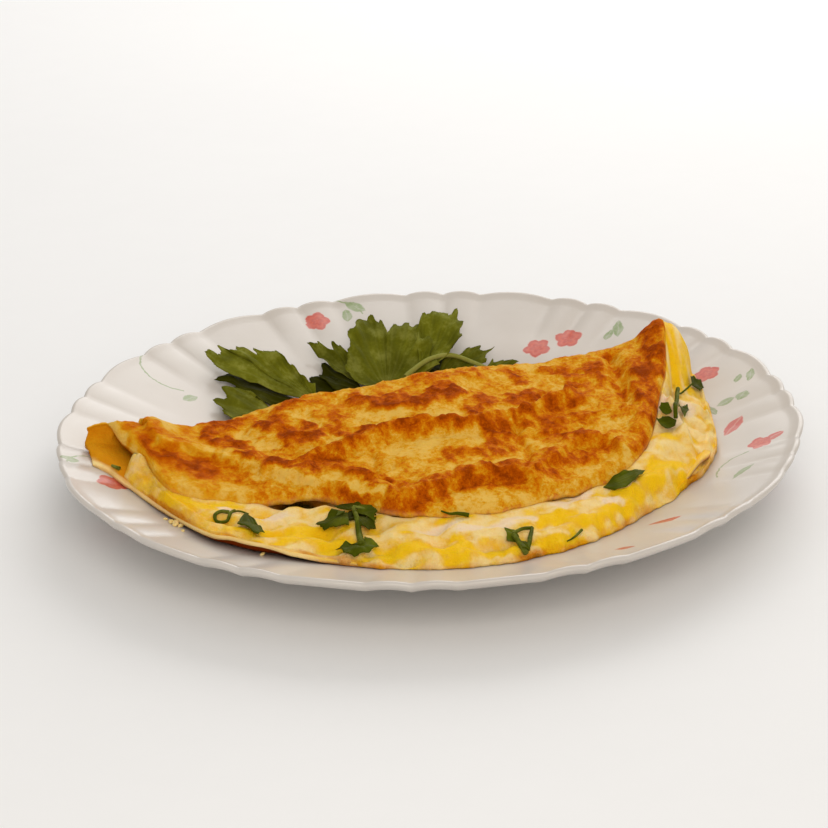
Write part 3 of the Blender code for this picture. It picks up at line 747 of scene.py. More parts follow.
def stem_group(name):
    """A thin curved stem: part of a circle's line, from its Turn on through its Sweep, in degrees."""
    inputs = {**PLACED, "Radius": 12.0, "Sweep": 90.0, "Line": 0.42}
    tree, given, made = new_group(name, inputs, ("Paint",))
    x, y = turned_place(tree, given)
    gap = maths(tree, "ABSOLUTE", minus(tree, from_middle(tree, x, y), given["Radius"]))
    line = ranged(tree, gap, times(tree, given["Line"], 0.5), given["Line"], 1.0, 0.0)
    turn = maths(tree, "WRAP", maths(tree, "DEGREES", maths(tree, "ARCTAN2", y, x)), 360.0, 0.0)
    within = maths(tree, "LESS_THAN", turn, given["Sweep"])
    tree.links.new(times(tree, line, within), made["Paint"])
    return tree


def most(tree, masks):
    """The greatest of several masks."""
    result = masks[0]
    for mask in masks[1:]:
        result = maths(tree, "MAXIMUM", result, mask)
    return result


def glaze_material(finish):
    """Warm white glaze with a loose sprigged print under it."""
    material, tree, shader = new_material(
        "plate_glaze", Roughness=0.32, Coat_Weight=0.14, Coat_Roughness=0.12)
    flower = group_named("Flower Mark", flower_group)
    leaf = group_named("Leaf Mark", leaf_mark_group)
    stem = group_named("Stem Mark", stem_group)

    def leaf_marks(places):
        marks = []
        for x, y, half, wide, turn in places:
            inputs = {"X": x, "Y": y, "Turn": turn, "Half Length": half, "Half Width": wide}
            marks.append(use_group(tree, leaf, inputs, "Paint"))
        return marks

    petals, depths = [], []
    for x, y, size, turn in FLOWERS:
        paint = use_group(tree, flower, {"X": x, "Y": y, "Turn": turn, "Size": size}, "Paint")
        petals.append(paint)
        depths.append(times(tree, paint, paint.node.outputs["Depth"]))
    buds = leaf_marks(BUDS)
    petals += buds
    depths += buds
    greens = leaf_marks(LEAVES)
    for x, y, radius, turn, sweep in STEMS:
        inputs = {"X": x, "Y": y, "Turn": turn, "Radius": radius, "Sweep": sweep}
        greens.append(use_group(tree, stem, inputs, "Paint"))
    clouds = mottle(tree, "Mask", 22.0, 90.0, sharpness=0.2)
    thin = mottle(tree, "Mask", 300.0, 900.0, sharpness=0.3)
    base = blend_colour(tree, clouds, finish.glaze, finish.glaze_shade)
    green_share = times(tree, most(tree, greens), ranged(tree, thin, 0.0, 1.0, 0.5, 0.85))
    with_green = blend_colour(tree, green_share, base, finish.print_green)
    petal_colour = blend_colour(tree, most(tree, depths), finish.print_pink, finish.print_red)
    petal_share = times(tree, most(tree, petals), ranged(tree, thin, 0.0, 1.0, 0.84, 0.99))
    final = blend_colour(tree, petal_share, with_green, petal_colour)
    tree.links.new(final, shader.inputs["Base Color"])
    bump(tree, shader, mottle(tree, "Height", 45.0, 160.0), 0.00012, 0.5)
    return material


# ------------------------------------------------------------------ the plate's shape
def plate_height(radius):
    """The height of the plate's inside, flutes left out."""
    radius = np.asarray(radius, float)
    slope = (RIM_HEIGHT - INSIDE[-1][1]) / (RIM_RADIUS - INSIDE[-1][0])
    beyond = INSIDE[-1][1] + slope * (radius - INSIDE[-1][0])
    return np.where(radius < INSIDE[-1][0], through(INSIDE, np.minimum(radius, INSIDE[-1][0])), beyond)


def rounded(points, radius, steps=5):
    """A line of points with its inner corners cut round."""
    line = [points[0]]
    for before, corner, after in zip(points, points[1:], points[2:]):
        corner = np.array(corner, float)
        back, on = np.array(before) - corner, np.array(after) - corner
        reach_back = min(radius, np.linalg.norm(back) * 0.45)
        reach_on = min(radius, np.linalg.norm(on) * 0.45)
        start = corner + back / np.linalg.norm(back) * reach_back
        stop = corner + on / np.linalg.norm(on) * reach_on
        for share in np.linspace(0, 1, steps):
            bend = (1 - share) ** 2 * start + 2 * share * (1 - share) * corner + share ** 2 * stop
            line.append(tuple(bend))
    line.append(points[-1])
    return line


def plate_profile(wall):
    """(radius, height) from the inside's middle, out over the lip and back under the foot to the axis."""
    radii = list(np.arange(0, 60, 6.0)) + list(np.arange(60, RIM_RADIUS - 2.5, 1.5))
    inside = [(r, float(plate_height(r))) for r in radii]
    under = [(r, float(plate_height(r)) - wall) for r in np.arange(RIM_RADIUS - 3.5, 79, -2.5)]
    lip = [inside[-1], (RIM_RADIUS - 1.3, RIM_HEIGHT + 0.1), (RIM_RADIUS, RIM_HEIGHT - 0.9),
           (RIM_RADIUS - 1.0, RIM_HEIGHT - 2.6), under[0]]
    foot = rounded([under[-1], *FOOT], 1.0, 4)
    return inside[:-1] + rounded(lip, 1.2) + under[1:-1] + foot + [(0, FOOT[-1][1])]


# The scallop group's inputs that the plate's tree hands on.
SCALLOP_INPUTS = ("Groups", "Phase", "Wide Share", "Wide Swell", "Narrow Swell", "Notch")


def scallop_group(name):
    """The rim's scallops: how far the outline swells, and how near a lobe's crown is, at an angle."""
    inputs = dict.fromkeys(("Angle", *SCALLOP_INPUTS), 0.0)
    tree, given, made = new_group(name, inputs, ("Swell", "Crown"), "GeometryNodeTree")
    share = over(tree, minus(tree, given["Angle"], given["Phase"]), FULL_TURN)
    place = maths(tree, "FLOORED_MODULO", times(tree, share, given["Groups"]), 1.0)
    is_wide = maths(tree, "LESS_THAN", place, given["Wide Share"])
    narrow = times(tree, minus(tree, 1.0, given["Wide Share"]), 0.5)
    wide_share = over(tree, place, given["Wide Share"])
    rest = maths(tree, "FLOORED_MODULO", minus(tree, place, given["Wide Share"]), narrow)
    narrow_share = over(tree, rest, narrow)
    lobe = node(tree, "ShaderNodeMix", {0: is_wide, 2: narrow_share, 3: wide_share})
    wave = maths(tree, "MAXIMUM", maths(tree, "SINE", times(tree, lobe, math.pi)), 0.0)
    crown = maths(tree, "POWER", wave, 0.8)
    size = node(tree, "ShaderNodeMix", {0: is_wide, 2: given["Narrow Swell"], 3: given["Wide Swell"]})
    swell = minus(tree, times(tree, crown, size), given["Notch"])
    tree.links.new(swell, made["Swell"])
    tree.links.new(crown, made["Crown"])
    return tree


def plate_tree(name):
    """Geometry Nodes that turn a profile round into the fluted, scalloped plate."""
    inputs = {
        "Geometry": None, "Turn Steps": 336, "Groups": 14, "Phase": 0.0, "Wide Share": 0.5,
        "Wide Swell": 0.0, "Narrow Swell": 0.0, "Notch": 0.0, "Scallop Start": 0.0, "Rim Radius": 0.1,
        "Flute Lift": 0.0, "Material": None,
    }
    tree, given, made = new_group(name, inputs, ("Geometry",), "GeometryNodeTree")
    rows = node(tree, "GeometryNodeAttributeDomainSize", {"Geometry": given["Geometry"]}, "Point Count")
    columns = plus(tree, given["Turn Steps"], 1.0)
    grid = node(tree, "GeometryNodeMeshGrid", {"Vertices X": columns, "Vertices Y": rows}, "Mesh")
    index = node(tree, "GeometryNodeInputIndex")
    row = maths(tree, "FLOORED_MODULO", index, rows)
    column = maths(tree, "FLOOR", over(tree, plus(tree, index, 0.5), rows))
    read = {"Geometry": given["Geometry"], "Value": node(tree, "GeometryNodeInputPosition"), "Index": row}
    sample = node(tree, "GeometryNodeSampleIndex", read, "Value", data_type="FLOAT_VECTOR")
    radius, _, height = parts(tree, sample)
    angle = times(tree, over(tree, column, given["Turn Steps"]), FULL_TURN)
    scallop = {"Angle": angle, **{label: given[label] for label in SCALLOP_INPUTS}}
    swell = use_group(tree, group_named("Scallop", scallop_group), scallop, "Swell")
    crown = swell.node.outputs["Crown"]
    reach = ranged(tree, radius, given["Scallop Start"], given["Rim Radius"])
    out = plus(tree, radius, times(tree, swell, reach))
    flute = times(tree, minus(tree, crown, 0.5), given["Flute Lift"])
    lift = plus(tree, height, times(tree, flute, reach))
    x = times(tree, out, maths(tree, "COSINE", angle))
    y = times(tree, out, maths(tree, "SINE", angle))
    position = node(tree, "ShaderNodeCombineXYZ", (x, y, lift))
    turned = node(tree, "GeometryNodeSetPosition", {"Geometry": grid, "Position": position})
    closed = node(tree, "GeometryNodeMergeByDistance", {"Geometry": turned, "Distance": TURN_WELD})
    return finished_tree(tree, closed, given, made)


def finished_tree(tree, shape, given, made):
    """A geometry tree with its end made: smooth faces, real instances and its material."""
    smoothed = node(tree, "GeometryNodeSetShadeSmooth", {"Geometry": shape})
    real = node(tree, "GeometryNodeRealizeInstances", {"Geometry": smoothed})
    coated = node(tree, "GeometryNodeSetMaterial", {"Geometry": real, "Material": given["Material"]})
    tree.links.new(coated, made["Geometry"])
    return tree


def grown(name, mesh, tree, values):
    """The closed mesh that a Geometry Nodes tree makes from a starting mesh and values for its inputs."""
    seed = put(name + "_seed", mesh)
    modifier = seed.modifiers.new("Grow", "NODES")
    modifier.node_group = tree
    for item in tree.interface.items_tree:
        if item.item_type == "SOCKET" and item.in_out == "INPUT" and item.name in values:
            modifier[item.identifier] = values[item.name]
    seed.update_tag()
    bpy.context.view_layer.update()
    evaluated = seed.evaluated_get(bpy.context.evaluated_depsgraph_get())
    result = bpy.data.meshes.new_from_object(evaluated)
    result.name = name
    seed.modifiers.remove(modifier)
    bpy.data.objects.remove(seed)
    turn_outward(result)
    return result


def build_plate(sizes, finish):
    """The plate: a turned profile whose rim swells into lobes."""
    line = plate_profile(sizes.wall / MM)
    profile = bpy.data.meshes.new("plate_profile")
    points = [(radius * MM, 0, height * MM) for radius, height in line]
    profile.from_pydata(points, [(k, k + 1) for k in range(len(line) - 1)], [])
    values = {
        "Turn Steps": sizes.turn_steps, "Groups": sizes.lobe_groups, "Phase": GROUP_PHASE,
        "Wide Share": WIDE_SHARE, "Wide Swell": sizes.wide_swell, "Narrow Swell": sizes.narrow_swell,
        "Notch": NOTCH_DEPTH * MM, "Scallop Start": SCALLOP_START * MM, "Rim Radius": RIM_RADIUS * MM,
        "Flute Lift": sizes.flute_lift, "Material": glaze_material(finish),
    }
    mesh = grown("fluted_plate", profile, group_named("Turned Plate", plate_tree), values)
    make_piece("fluted_plate", mesh, ["plate"])


# ------------------------------------------------------------------ the folded sheet
def to_plate(along, out):
    """(x, y) of a place on the omelette."""
    turn_x, turn_y = math.cos(FOLD_TURN), math.sin(FOLD_TURN)
    return FOLD_MIDDLE[0] + along * turn_x + out * turn_y, FOLD_MIDDLE[1] + along * turn_y - out * turn_x


def under_face(along, out):
    """The height of the sheet's lower face, which follows the plate's inside."""
    x, y = to_plate(along, out)
    return plate_height(np.hypot(x, y)) + REST_GAP


def lower_edge(along):
    """How far out the sheet's lower half reaches: it waves, and stays back under the egg in front."""
    shy = 0.5 + 2.6 * ramp(along, -42, 16)
    edge = through(OUTLINE, along) - shy
    return edge + 1.1 * grain(along / 13, 0.2, 33) + 0.8 * grain(along / 5, 0.3, 34)


def curl_up(along, out):
    """How far the lower half curls up off the plate near its edge."""
    within = out - lower_edge(along)
    left = (3.4 + 1.0 * grain(along / 9, 0.5, 37)) * bell(along, -70, 17) * ramp(within, -6, 6) ** 1.2
    return left + 4.2 * bell(along, *RIGHT_CURL) * ramp(within, -13, 13) ** 1.5


def edge_share(inward):
    """How much of its full thickness the sheet has, this far in from its lower edge."""
    return THIN_EDGE + (1 - THIN_EDGE) * ramp(inward, 0, 11)


def flap_reach(along):
    """How far out the folded-over half reaches: its free edge waves a little."""
    wave = 1.3 * grain(along / 12, 0.4, 31) + 0.5 * grain(along / 4.5, 0.7, 32)
    ends = ramp(along, -92, 12) * ramp(along, 96, -12)
    return through(FLAP_REACH, along) + wave * ends


def flap_middle(along, out):
    """The height of the folded-over half's middle, from the crest out to its free edge."""
    crest = through(CREST, along) - SHEET / 2
    edge = np.minimum(through(FLAP_UNDERSIDE, along) + SHEET / 2, crest)
    reach = np.maximum(through(FLAP_REACH, along) - CREST_OUT, 0.5)
    share = np.clip((out - CREST_OUT) / reach, 0.0, 1.0)
    return crest - (crest - edge) * (0.7 * share + 0.3 * share ** 3)


def under_flap(along, out):
    """The height of the folded-over half's lower face."""
    return flap_middle(along, out) - SHEET / 2


def sheet_path(along):
    """The sheet's middle line at each place along: (out, height), from its lower to its free edge."""
    along = along[:, None]
    edge = lower_edge(along)
    floor = under_face(along, CREST_OUT) + SHEET / 2
    crest = flap_middle(along, CREST_OUT)
    half = (crest - floor) / 2
    bulge = np.minimum(BACK_BULGE, half * 0.9)
    turn_out = CREST_OUT + np.minimum(3.0, half * 0.3)
    share = np.linspace(0, 1, LOW_STEPS + 1)[None, :-1] ** 1.8
    low_out = edge + (turn_out - edge) * share
    low = under_face(along, low_out) + SHEET / 2 + curl_up(along, low_out)
    rise = np.linspace(0, 1, WALL_STEPS)[None, :]
    angle = math.pi * (rise - 0.5)
    start = under_face(along, turn_out) + SHEET / 2
    base = turn_out + (CREST_OUT - turn_out) * rise
    foot = start + (floor - start) * rise
    wall_out = base - bulge * np.cos(angle) ** 0.9
    wall = (foot + crest) / 2 + (crest - foot) / 2 * np.sin(angle)
    reach = np.maximum(flap_reach(along), CREST_OUT + 0.6)
    share = np.linspace(0, 1, FLAP_STEPS + 1)[None, 1:]
    flap_out = CREST_OUT + (reach - CREST_OUT) * share
    flap = flap_middle(along, flap_out)
    gape = ramp(along, GAPE_LEFT, -GAPE_LENGTH) + ramp(along, GAPE_RIGHT, GAPE_LENGTH)
    stop = math.pi * (rise * np.where(along < 0, *GAPE_TURNS) - 0.5)
    gape_out = base - bulge * np.cos(stop) ** 0.9
    corner = 0.86 + 0.14 * np.sqrt(ramp(along, LEFT_END, 5))
    tall = np.where(along < 0, GAPE_HEIGHTS[0] * corner, GAPE_HEIGHTS[1])
    gape_up = foot + (crest - foot) * tall * (1 + np.sin(stop)) / (1 + np.sin(stop[:, -1:]))
    wall_out = wall_out + (gape_out - wall_out) * gape
    wall = wall + (gape_up - wall) * gape
    flap_out = flap_out + (wall_out[:, -1:] + 0.3 * share - flap_out) * gape
    flap = flap + (wall[:, -1:] + 0.8 * share - flap) * gape
    out = np.concatenate([low_out, wall_out, flap_out], axis=1)
    height = np.concatenate([low, wall, flap], axis=1)
    return np.stack([out, height], axis=2)


def stations(left, right, count):
    """Places along the fold, closer together towards both ends."""
    turn = np.linspace(-1, 1, count)
    spread = 0.8 * turn + 0.2 * np.sin(turn * math.pi / 2)
    return (left + right) / 2 + (right - left) / 2 * spread


def creased(x, y, seed):
    """Noise with narrow, rounded crests, as crumpled skin has, about 0 on the whole."""
    return (1.1 - np.sqrt(grain(x, y, seed) ** 2 + 0.02)) ** 2 - 0.6


def crust_relief(along, out, sizes):
    """(broad height, fine height, browning) of the crust at each place, as the hot pan left it."""
    ragged_x = along + 2.4 * grain(along / 8, out / 9, 41) + 1.1 * grain(along / 2.6, out / 3.4, 42)
    ragged_y = out + 2.8 * grain(along / 6, out / 8, 43) + 1.6 * grain(along / 2.4, out / 3.4, 44)
    half_x, half_y = (along + ragged_x) / 2, (out + ragged_y) / 2
    steep, quiet = ramp(along, *STEEP_FLAP), ramp(along, *CALM_CRUST)
    wrinkles = creased(ragged_x / 13, ragged_y / 9, 46) * (1 - 0.7 * steep)
    broad = 0.7 * grain(along / 17, out / 15, 45) + wrinkles
    for line, height, back in LEDGES:
        gap, side = near_line(half_x, half_y, line)
        fall = np.where(side * height < 0, back, LEDGE_FOOT)
        broad = broad + RELIEF_GAIN * abs(height) * bell(gap, 0, fall)
    for line, height, half in RIDGES:
        gap, _ = near_line(half_x, half_y, line)
        broad = broad + RELIEF_GAIN * height * bell(gap, 0, half)
    crumple = creased(ragged_x / 5.6, ragged_y / 5.8, 47)
    pebble = creased(ragged_x / 2.3, ragged_y / 3.0, 48)
    cloud = 0.5 + 0.9 * grain(ragged_x / 5.5, ragged_y / 8, 52) + 0.4 * grain(along / 2.4, out / 3.6, 53)
    patch = smooth(cloud)
    contact = grain(along / 12, out / 16, 51)
    brown, pale = np.zeros_like(broad), np.zeros_like(broad)
    for line, strength, half in SCORCHES:
        gap, _ = near_line(ragged_x, ragged_y * SPREAD, [(x, y * SPREAD) for x, y in line])
        spot = smooth(0.5 + 1.25 * (1 - gap / half))
        if strength > 0:
            brown = np.maximum(brown, strength * (0.6 + 0.6 * patch) * spot)
        else:
            pale = np.maximum(pale, -strength * spot)
    broad = broad + 1.1 * brown - 0.4 * pale
    fine = (0.5 * crumple + 0.26 * pebble) * (1 - 0.45 * quiet) * (1 - 0.5 * steep)
    fine = fine + 0.12 * grain(along / 1.6, out / 1.5, 49)
    browning = 0.3 + 0.12 * contact + 0.22 * (patch - 0.5) + 0.12 * crumple + 0.14 * pebble
    golden = smooth((17 - flap_reach(along) + out) / 13)
    browning = browning + quiet * (0.24 * ramp(out, 8, 12) * (1 - golden) - 0.1 * golden)
    browning = browning + 0.5 * brown * (1 - 0.6 * quiet * golden) - 0.34 * pale
    return broad * sizes.fold_depth, fine * sizes.crumple_depth, browning


def build_sheet(sizes, finish):
    """The folded sheet of egg: browned outside, soft inside, with torn and waving edges."""
    along = stations(LEFT_END, RIGHT_END, SHEET_STATIONS)
    line = sheet_path(along)
    columns = line.shape[1]
    run = np.gradient(line, axis=1)
    run /= np.linalg.norm(run, axis=2)[:, :, None]
    inward = np.stack([run[:, :, 1], -run[:, :, 0]], axis=2)
    lengths = np.linalg.norm(np.diff(line, axis=1), axis=2)
    walked = np.concatenate([np.zeros((len(along), 1)), np.cumsum(lengths, axis=1)], axis=1)
    crest = LOW_STEPS + WALL_STEPS - 1
    place = walked - walked[:, crest:crest + 1] + CREST_OUT
    place[:, crest:] = line[:, crest:, 0]
    across = along[:, None] * np.ones((1, columns))
    broad, fine, browning = crust_relief(across, place, sizes)
    to_free = walked[:, -1:] - walked
    # The underside near the lower edge is browned from the pan; around along -66 and along 90 it is pushed
    # towards the darkest crust as painted shade under the curled rim.
    underside_brown_and_shade = 0.25 + 0.85 * bell(across, -66, 24) + 0.3 * bell(across, 90, 12)
    underside_brown_and_shade = ramp(walked, 15, -9) * underside_brown_and_shade
    browning = browning + underside_brown_and_shade * (1.15 + 0.6 * grain(across / 9, walked / 5, 54))
    thick = SHEET * edge_share(walked) * (0.62 + 0.38 * np.sqrt(ramp(to_free, 0, 3.0)))
    ends = np.minimum(across - LEFT_END, RIGHT_END - across)
    thick = thick * (0.5 + 0.5 * np.sqrt(ramp(ends, 0, 3.0)))
    thick = thick * (1 - 0.55 * ramp(across, GAPE_LEFT, -GAPE_LENGTH) * ramp(to_free, 6, -5))
    lying = ramp(np.arange(columns)[None, :], LOW_STEPS, WALL_STEPS / 2)
    raised = bell(across, *RAISED_LIP)
    settle = 1.4 * ramp(to_free, 3.5, -3.5) * ramp(across, -90, 10) - 0.9 * raised * ramp(to_free, 9, -9)
    lift = broad * lying * (1 - 0.75 * (1 - raised) * ramp(to_free, 8, -8)) - settle
    outer = line - inward * (thick / 2 + lift + fine * lying + 0.05 * fine)[:, :, None]
    inner = line + inward * (thick / 2 - lift)[:, :, None]
    sag = (SHEET - thick) / 2 * smooth(1 - walked / 11) + 0.45 * smooth(1 - walked / 7)
    outer[:, :, 1] -= sag
    inner[:, :, 1] -= sag
    shift = 1.5 * grain(place / 10, 0.5, 35) + 0.6 * grain(place / 3.6, 0.6, 36)
    shift = shift * np.exp(-np.maximum(ends, 0) / 7)
    shift = shift - 1.8 * np.exp(-(across - LEFT_END) / 6) * ramp(line[:, :, 1], 26, -6)
    numbers = np.arange(columns)
    sparse = numbers[LOW_EDGE_POINTS:-FREE_EDGE_POINTS:BACK_EVERY]
    chosen = np.concatenate([numbers[:LOW_EDGE_POINTS:2], sparse, numbers[-FREE_EDGE_POINTS:]])

    def placed(face, moved):
        x, y = to_plate(across[:, :face.shape[1]] + moved, face[:, :, 0])
        return np.stack([x, y, face[:, :, 1]], axis=2)

    front, back = placed(outer, shift), placed(inner[:, chosen], shift[:, chosen])
    lips = ramp(to_free, 0.8, -0.8) * 0.06
    in_front = ramp(across, *FRONT_EDGE)
    rim = ramp(walked, 1.0, -0.6) * np.clip(0.75 + 0.4 * grain(across / 7, 0.5, 57), 0, 1)
    rim = rim * (1 - 0.8 * in_front)
    inner_rim = ramp(walked, 4.0, -1.6) * np.clip(0.8 + 0.4 * grain(across / 5, walked / 3, 58), 0, 1)
    inner_rim = inner_rim * (1 - 0.6 * in_front)
    open_left = ramp(across, *BARE_TUBE)
    open_right = ramp(across, *SOFT_RIGHT_END)
    soft_side = (1 - open_left - 0.35 * open_right) * (1 - 0.6 * ramp(to_free, 6, -5))
    calm = 0.55 * ramp(across, *CALM_CRUST)
    inner_calm = 0.9 * open_left + calm * (1 - open_left)
    streaks = 0.5 + 0.5 * grain(across / 1.7, place / 14, 55) + 0.25 * grain(across / 0.8, place / 9, 56)
    toasted = browning * (1 - open_left) + (0.36 + 0.05 * grain(across / 9, place / 9, 53)) * open_left
    toasted = toasted * (1 - open_right) + (0.05 + 0.4 * streaks) * open_right
    values = (("browning", browning, toasted), ("inside", lips, soft_side), ("cream", rim, inner_rim),
              ("calm", calm, inner_calm))
    data = [(label, [(ahead, behind[:, chosen])]) for label, ahead, behind in values]
    mesh = two_faced("omelette_sheet", [(front, back)], data)
    make_piece("omelette_sheet", mesh, ["omelette"], crust_material(finish))


def crust_material(finish):
    """Fried egg: pale where it lay clear of the pan, through gold and orange to brown where it touched, and
    darkest where shade is painted on the underside near the lower edge.
    """
    material, tree, shader = new_material(
        "browned_egg", Roughness=0.5, Specular_IOR_Level=0.008, Specular_Tint=(1.0, 0.78, 0.4, 1.0),
        Subsurface_Weight=0.08, Subsurface_Radius=(1.0, 0.45, 0.12), Subsurface_Scale=0.0015)
    blotches = mottle(tree, "Height", 330.0, 1100.0, 0.4)
    specks = mottle(tree, "Height", 900.0, 2600.0, 0.5)
    swing = times(tree, minus(tree, blotches, 0.5), 1.05)
    fleck = times(tree, minus(tree, specks, 0.5), 1.1)
    lively = minus(tree, 1.0, attribute(tree, "calm"))
    swing = times(tree, plus(tree, swing, fleck), lively)
    heat = plus(tree, attribute(tree, "browning"), swing)
    fried = node(tree, "ShaderNodeValToRGB", (heat,))
    steps = [(0.03, finish.crust_pale), (0.26, finish.crust_gold), (0.45, finish.crust_orange),
             (0.66, finish.crust_brown), (0.98, finish.crust_dark)]
    stops = fried.node.color_ramp.elements
    stops[0].position, stops[1].position = steps[0][0], steps[-1][0]
    for place, _ in steps[1:-1]:
        stops.new(place)
    for stop, (_, tint) in zip(stops, steps):
        stop.color = (*tint, 1.0)
    soft = blend_colour(tree, ranged(tree, blotches, 0.4, 0.6), finish.egg_yellow, finish.egg_cream)
    bright = ranged(tree, attribute(tree, "inside"), 0.62, 0.66)
    soft = blend_colour(tree, bright, soft, finish.egg_yolk)
    base = blend_colour(tree, attribute(tree, "inside"), fried, soft)
    base = blend_colour(tree, attribute(tree, "cream"), base, finish.egg_cream)
    tree.links.new(base, shader.inputs["Base Color"])
    tree.links.new(ranged(tree, heat, 0.2, 0.9, 0.36, 0.52), shader.inputs["Roughness"])
    first = bump(tree, shader, blotches, 0.0011, 0.8)
    bump(tree, shader, specks, 0.0005, 0.8, first)
    return material


# ------------------------------------------------------------------ the soft egg
# How far past its edge an oval mark fades out, as a share of its size, and the room left under the flap.
OVAL_FADE = 0.6
UNDER_FLAP_GAP = 0.6


def ovals(along, out, marks):
    """A mask that is 1 inside every oval mark and fades out past its edge."""
    mask = np.zeros(np.shape(along))
    for place, far, half, wide, turn in marks:
        cos_t, sin_t = math.cos(math.radians(turn)), math.sin(math.radians(turn))
        x, y = along - place, out - far
        gap = np.hypot((x * cos_t + y * sin_t) / half, (y * cos_t - x * sin_t) / wide)
        mask = np.maximum(mask, smooth((1 + OVAL_FADE - gap) / (2 * OVAL_FADE)))
    return mask


def build_egg(sizes, finish):
    """The soft egg in the fold: creamy curds that come out past the folded-over half."""
    along = stations(EGG_LEFT, EGG_RIGHT, EGG_STATIONS)[:, None]
    reach_flap = flap_reach(along)
    cover = ramp(along, -45, 18)
    ragged = 2.1 * grain(along / 9, 0.1, 61) + 1.4 * grain(along / 3.5, 0.1, 60)
    turned = bell(along, -66, 18)
    ragged = ragged * (1 - 0.8 * turned)
    tucked = 2.6 * bell(along, *RIGHT_CURL) + 2.2 * turned
    edge = through(OUTLINE, along) - 1.6 - tucked + 1.7 * cover + ragged * ramp(along, -96, 10)
    back = CREST_OUT + 3.5 - 7.5 * ramp(along, 98, 6)
    reach = np.minimum(np.maximum(reach_flap, back + 3.0), edge - 4.0)
    hidden = np.linspace(0, 1, HIDDEN_STEPS)[None, :-1] ** 0.75
    bare = 1 - (1 - np.linspace(0, 1, BARE_STEPS)[None, :]) ** 1.35
    hidden_out = back + (reach - 3.0 - back) * hidden
    bare_out = reach - 3.0 + (edge - reach + 3.0) * bare
    out = np.concatenate([hidden_out, bare_out], axis=1)
    from_edge, beyond, past = edge - out, out - reach_flap, out - reach
    across = along + 8 * ramp(out, 28, -9) * ramp(along, -80, -14)
    left_end = ramp(across, -84, -10)
    clear = ramp(from_edge, 2.0 * cover, 2.0)
    low = under_face(across, out) + SHEET * edge_share(from_edge) * clear + 0.3 * clear
    low = low - 0.45 * cover * ramp(from_edge, 4, -4)
    low = low + curl_up(across, np.minimum(out, lower_edge(across))) * (1 - cover)
    lid = under_flap(across, np.minimum(out, reach_flap)) - UNDER_FLAP_GAP + 30 * ramp(across, 102, 4)
    cap = 60.0 + (OPEN_END_TOP - 60.0) * ramp(across, 84.0, 12.0)
    near_gap = bell(across, *RAISED_LIP)
    swell = (0.8 + 0.8 * ramp(across, -50, -8)) * (1 - near_gap)
    start = np.minimum(under_flap(along, reach_flap) - UNDER_FLAP_GAP + swell, cap)
    foot = under_face(along, edge) + (SHEET * THIN_EDGE + 0.9 + curl_up(along, edge)) * (1 - cover) + 0.3
    share = np.clip(beyond / np.maximum(edge - reach_flap, 1.0), 0.0, 1.0)
    high = np.where(out < reach_flap, np.minimum(lid, cap), start + (foot - start) * share ** 2.3)
    shown = ramp(past, -3.5, 4.0)
    rolls = 0.6 - 1.6 * grain(across / 17, out / 8, 62) ** 2 / 0.25
    warp = across + 2.0 * grain(across / 6, out / 6, 63)
    lumps = 0.8 * grain(warp / 9, out / 6.5, 64) + 0.3 * grain(warp / 4, out / 3.6, 65)
    curds = 2.4 * grain(across / 8, out / 7, 66) + 0.7 * grain(across / 4, out / 4, 67)
    curds = curds * ramp(across, 78, 12)
    lip = 0.9 * bell(from_edge, 6, 3.2) - 0.8 * bell(from_edge, 12, 2.6)
    tight = 1 - 0.75 * bell(beyond, 0, 5)
    relief = (0.8 * rolls + 1.3 * lumps + curds + lip) * tight * sizes.curd_depth
    relief = relief * shown * (0.25 + 0.75 * ramp(from_edge, 0, 2.5))
    pit = bell(np.maximum(past, 0), 0, 3.0) * bell(np.minimum(past, 0), 0, 12)
    hollow = near_gap * (7.0 * pit - 1.8 * bell(past, 6.5, 3.0))
    hollow = hollow + 9.0 * left_end * ramp(out, 24, -14)
    high = high + relief - 1.2 * (1 - shown) - hollow
    inset = across - 103.5 + 0.35 * np.maximum(out - 6, 0)
    heaping = ramp(across, *HEAP_START)
    heap = heaping * np.sqrt(1 - np.clip(inset / 10.6, 0, 1) ** 3)
    lump = np.exp(-(((across + 93.4) / 3.0) ** 2) - ((out - 26) / 6.5) ** 2)
    taper = smooth((across - EGG_LEFT - 6 * ramp(out, 26, -8)) / 8)
    high = low + (high - low) * np.sqrt(taper) + 4.6 * lump
    level = under_face(across, out) + 2.0
    streak = grain(across / 1.8, out / 12, 74)
    mound = level + (HEAP_TOP - level) * bell(out, 2, 21) * heap + 0.5 * streak + 0.6 * lumps
    hug = ramp(across, 82, 6) * ramp(across, 107, -4) * bell(np.maximum(beyond, 0), 0, 8)
    mound = np.maximum(mound, level + (under_flap(along, reach_flap) - 0.3 - level) * hug)
    mound = np.where(out < reach_flap, np.minimum(mound, lid), mound)
    on_heap = heaping * ramp(out, 32, -10)
    high = np.where(across > 82, np.maximum(high, mound), high)
    high = np.maximum(high, low + 0.5)
    every = np.arange(out.shape[1])
    chosen = np.append(every[::EGG_BACK_EVERY], every[-1])

    def placed(columns, height):
        x, y = to_plate(across[:, columns], out[:, columns])
        return np.stack([x, y, height[:, columns]], axis=2)

